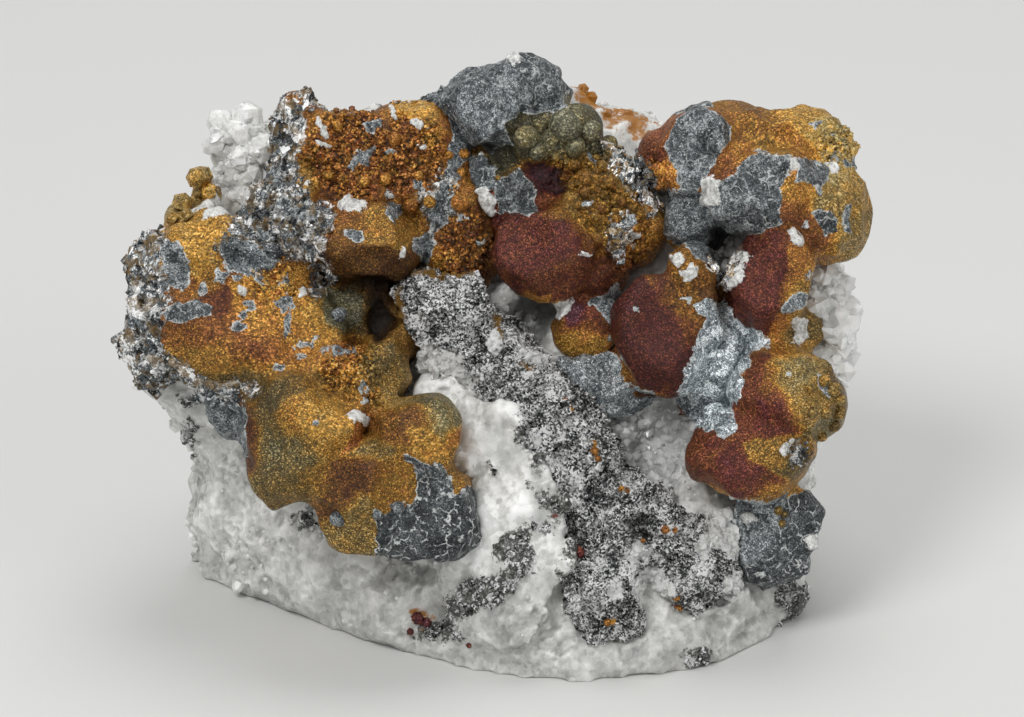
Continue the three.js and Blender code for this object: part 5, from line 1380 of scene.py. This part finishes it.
# balls and crystals that stand alone; spots: x, y and width
singles = {
    "gold_balls": {
        "host": leftPiece, "kind": "ball", "film": 0.47, "light": 1.0, "plate": -1,
        "spots": [(-5.4, 47.8, 2.0), (-10.2, 47.4, 1.6), (-4.6, 52.6, 1.2), (-4.8, 51, 1.0),
                  (-8.1, 47.9, 1.4), (-6.6, 52.6, 1.0), (-9.2, 50.6, 1.1), (-12.4, 50.2, 1.3),
                  (-7.4, 42.2, 1.2), (-18.6, 50.4, 1.2), (-11.4, 54.2, 1.3), (-17.2, 55.2, 1.2),
                  (-14.8, 49.6, 1.2)],
    },
    "grey_balls": {
        "host": leftPiece, "kind": "ball", "film": 0.5, "light": 1.0, "plate": 1,
        "spots": [(-17.5, 15.9, 1.9), (-17.2, 36.7, 1.8), (-13.2, 16.5, 1.2), (-11.1, 17.2, 1.3)],
    },
    "ochre_crystals": {
        "host": leftPiece, "kind": "point", "film": 0.27, "light": 1.7, "plate": -1,
        "spots": [(-30.6, 50.2, 2.4), (-30.2, 48.8, 1.6), (-31.2, 49.2, 1.4), (-33, 47.4, 1.9),
                  (-33.6, 46.2, 1.4), (-32.4, 46.4, 1.3)],
    },
    "olive_balls": {
        "host": crownPiece, "kind": "ball", "film": 0.06, "light": 1.3, "plate": -1,
        "spots": [(1.2, 54.3, 2.8), (5.0, 55.4, 3.2), (8.2, 54.8, 2.6), (6.6, 53.2, 2.2), (2.8, 52.6, 2.0),
                  (10.2, 54.0, 1.8), (3.0, 55.6, 1.8)],
    },
    "brown_knobs": {
        "host": crownPiece, "kind": "ball", "film": 0.45, "light": 0.48, "plate": -1,
        "spots": [(6.4, 51.4, 1.6), (7.6, 50, 1.4), (8.8, 51.6, 1.3), (7.2, 48.6, 1.2), (9.8, 49.4, 1.4),
                  (9, 47.4, 1.2), (10.6, 46.4, 1.2), (8, 46.2, 1.0), (11, 48, 1.0), (5.8, 49.8, 1.1)],
    },
    "gold_specks": {
        "host": veinPiece, "kind": "grain", "film": 0.5, "light": 0.85, "plate": -1,
        "spots": [(6, 27.2, 0.9), (5.7, 27.9, 0.7), (8.3, 23.7, 0.9), (8.4, 22.8, 1.1), (8.5, 21.9, 0.8),
                  (2.5, 19.7, 0.8), (10.7, 19.2, 0.9), (11.5, 19.1, 0.8), (15.5, 15, 1.0),
                  (16.4, 14.7, 0.9), (16.6, 7.9, 0.8), (16.7, 7, 0.9), (9.5, 5.9, 1.0), (10.1, 5.5, 0.7),
                  (4.9, 15.2, 0.6), (13, 13.6, 0.6)],
    },
    "red_specks": {
        "host": veinPiece, "kind": "grain", "film": 0.75, "light": 0.9, "plate": -1,
        "spots": [(6.1, 13.2, 1.4), (6.9, 12.7, 1.3), (6.3, 12.5, 1.0), (4.6, 16.5, 0.8), (4.1, 16.9, 0.6),
                  (16.2, 7.4, 0.6)],
    },
    "red_grains": {
        "host": quartzPiece, "kind": "grain", "film": 0.80, "light": 0.8, "plate": -1,
        "spots": [(-9.3, 6.5, 1.5), (-8.9, 5.9, 1.2), (-9.7, 6.0, 1.0), (-10.4, 4.9, 0.8),
                  (-4.6, 3.4, 0.7)],
    },
    "ochre_crest": {
        "host": rightPiece, "kind": "ball", "film": 0.27, "light": 0.85, "plate": -1,
        "spots": [(31.4, 30, 1.4), (32.4, 29.2, 1.6), (33, 28, 1.5), (33, 26.6, 1.5), (32.4, 25.2, 1.5),
                  (31.2, 24.2, 1.3), (30.2, 26.4, 1.2), (31.6, 26.6, 1.2), (30, 29.2, 1.1),
                  (29.6, 24.4, 1.0), (26.7, 16.7, 0.9), (27.4, 16.3, 0.9), (27.2, 15.6, 0.8)],
    },
}
singleSeed = 700


def growSingles(name, look):
    count = len(look["spots"])
    places, normals = standOn(look["host"], look["spots"])
    dice = np.random.default_rng(singleSeed)
    sizes = np.array([[spot[2]] * 3 for spot in look["spots"]]) * dice.uniform(0.8, 1.15, (count, 3))
    piece, corners = strewn(name, look["kind"], places, normals, sizes, 0.5, dice)
    film = look["film"] + dice.normal(size=count) * 0.03
    light = look["light"] * dice.uniform(0.8, 1.2, count)
    zones = {"film": film, "light": light, "plate": look["plate"], "silver": -1, "white": -1, "tone": 1,
             "coarse": 0.5}
    keepStrewn(piece, zones, corners)
    finish(piece, chalcopyriteSkin, smooth=look["kind"] == "ball")


for name, look in singles.items():
    growSingles(name, look)
print("single balls and crystals grown")

druse = {
    "count": 1500,
    "seed": 600,
    "narrowest": 0.4,  # mm
    "spread": 1.6,
    "beds": [(12.6, 23.6, 6.4, 5), (22, 14, 3.4, 3.4), (32, 35, 3, 5.6), (21, 43, 2, 3)],
}


def growPoints(look, host):  # small clear points that line the hollows and the edges
    count = look["count"]

    def bedShare(spot, normal):
        inBed = smoothStep(insideOvals(seenFromFront(spot), look["beds"]), -0.5, 0.8)
        return inBed * smoothStep(spot[:, 2], -14, -10) + 1e-9

    places, normals, dice = placesOn(host, count, bedShare, look["seed"])
    width = look["narrowest"] + look["spread"] * dice.random(count) ** 4
    width = width * np.where(places[:, 0] > 25 * mm, 1.3, 0.85)  # the right edge has the widest ones
    depth, height = width * dice.uniform(0.6, 1, count), width * dice.uniform(1.0, 1.7, count)
    sizes = np.stack([width, depth, height], axis=1)
    places = places - normals * (0.75 * width[:, None]) * mm
    piece = strewn("quartz_points", "point", places, normals, sizes, 0.35, dice)[0]
    finish(piece, crystalSkin, smooth=False)


growPoints(druse, quartzPiece)
print("points grown")

# ---- floor, light and camera

studio = {
    "floor": 1.6,  # m from the middle to an edge
    "floorColour": "#d8d8d6",
    "world": 0.42,
    "target": (0, 0, 0.025),
    # lamps: place and width in metres, power in watts
    "lamps": {
        "key": ((-0.28, -0.40, 0.62), 0.30, 2.6),
        "fill": ((0.50, -0.35, 0.35), 0.45, 0.8),
        "top": ((0.05, 0.20, 0.60), 0.40, 1.3),
    },
    "lens": 200,  # mm
    "sensor": 36,
}


def buildStudio(look):
    ground = bmesh.new()
    bmesh.ops.create_grid(ground, x_segments=1, y_segments=1, size=look["floor"])
    mesh = bpy.data.meshes.new("floor")
    ground.to_mesh(mesh)
    ground.free()
    floor = newPiece("floor", mesh)
    material, tree = newMaterial("pale_floor")
    shader = addNode(tree, "BsdfPrincipled", {"Base Color": colour(look["floorColour"]), "Roughness": 0.6})
    addNode(tree, "OutputMaterial", {"Surface": shader.outputs[0]})
    floor.data.materials.append(material)
    for name, (place, size, power) in look["lamps"].items():
        lamp = bpy.data.lights.new(name, "AREA")
        lamp.shape = "DISK"
        lamp.size = size
        lamp.energy = power
        lampObject = bpy.data.objects.new(name, lamp)
        lampObject.location = place
        aim = Vector(look["target"]) - Vector(place)
        lampObject.rotation_euler = aim.to_track_quat("-Z", "Y").to_euler()
        bpy.context.scene.collection.objects.link(lampObject)
    world = bpy.data.worlds.new("studio")
    world.use_nodes = True
    world.node_tree.nodes["Background"].inputs["Color"].default_value = colour("#ffffff")
    world.node_tree.nodes["Background"].inputs["Strength"].default_value = look["world"]
    bpy.context.scene.world = world
    bpy.context.scene.view_settings.view_transform = "Standard"


def buildCamera(look):
    lens = bpy.data.cameras.new("camera")
    lens.lens = look["lens"]
    lens.sensor_width = look["sensor"]
    lens.clip_start = 0.05
    camera = bpy.data.objects.new("camera", lens)
    place = toRow([[0, showFace["eyeHeight"], showFace["eyeDistance"]]])[0]
    camera.matrix_world = Matrix.Translation(place) @ faceTurn.to_4x4()
    bpy.context.scene.collection.objects.link(camera)
    bpy.context.scene.camera = camera


buildStudio(studio)
buildCamera(studio)
print("studio built")
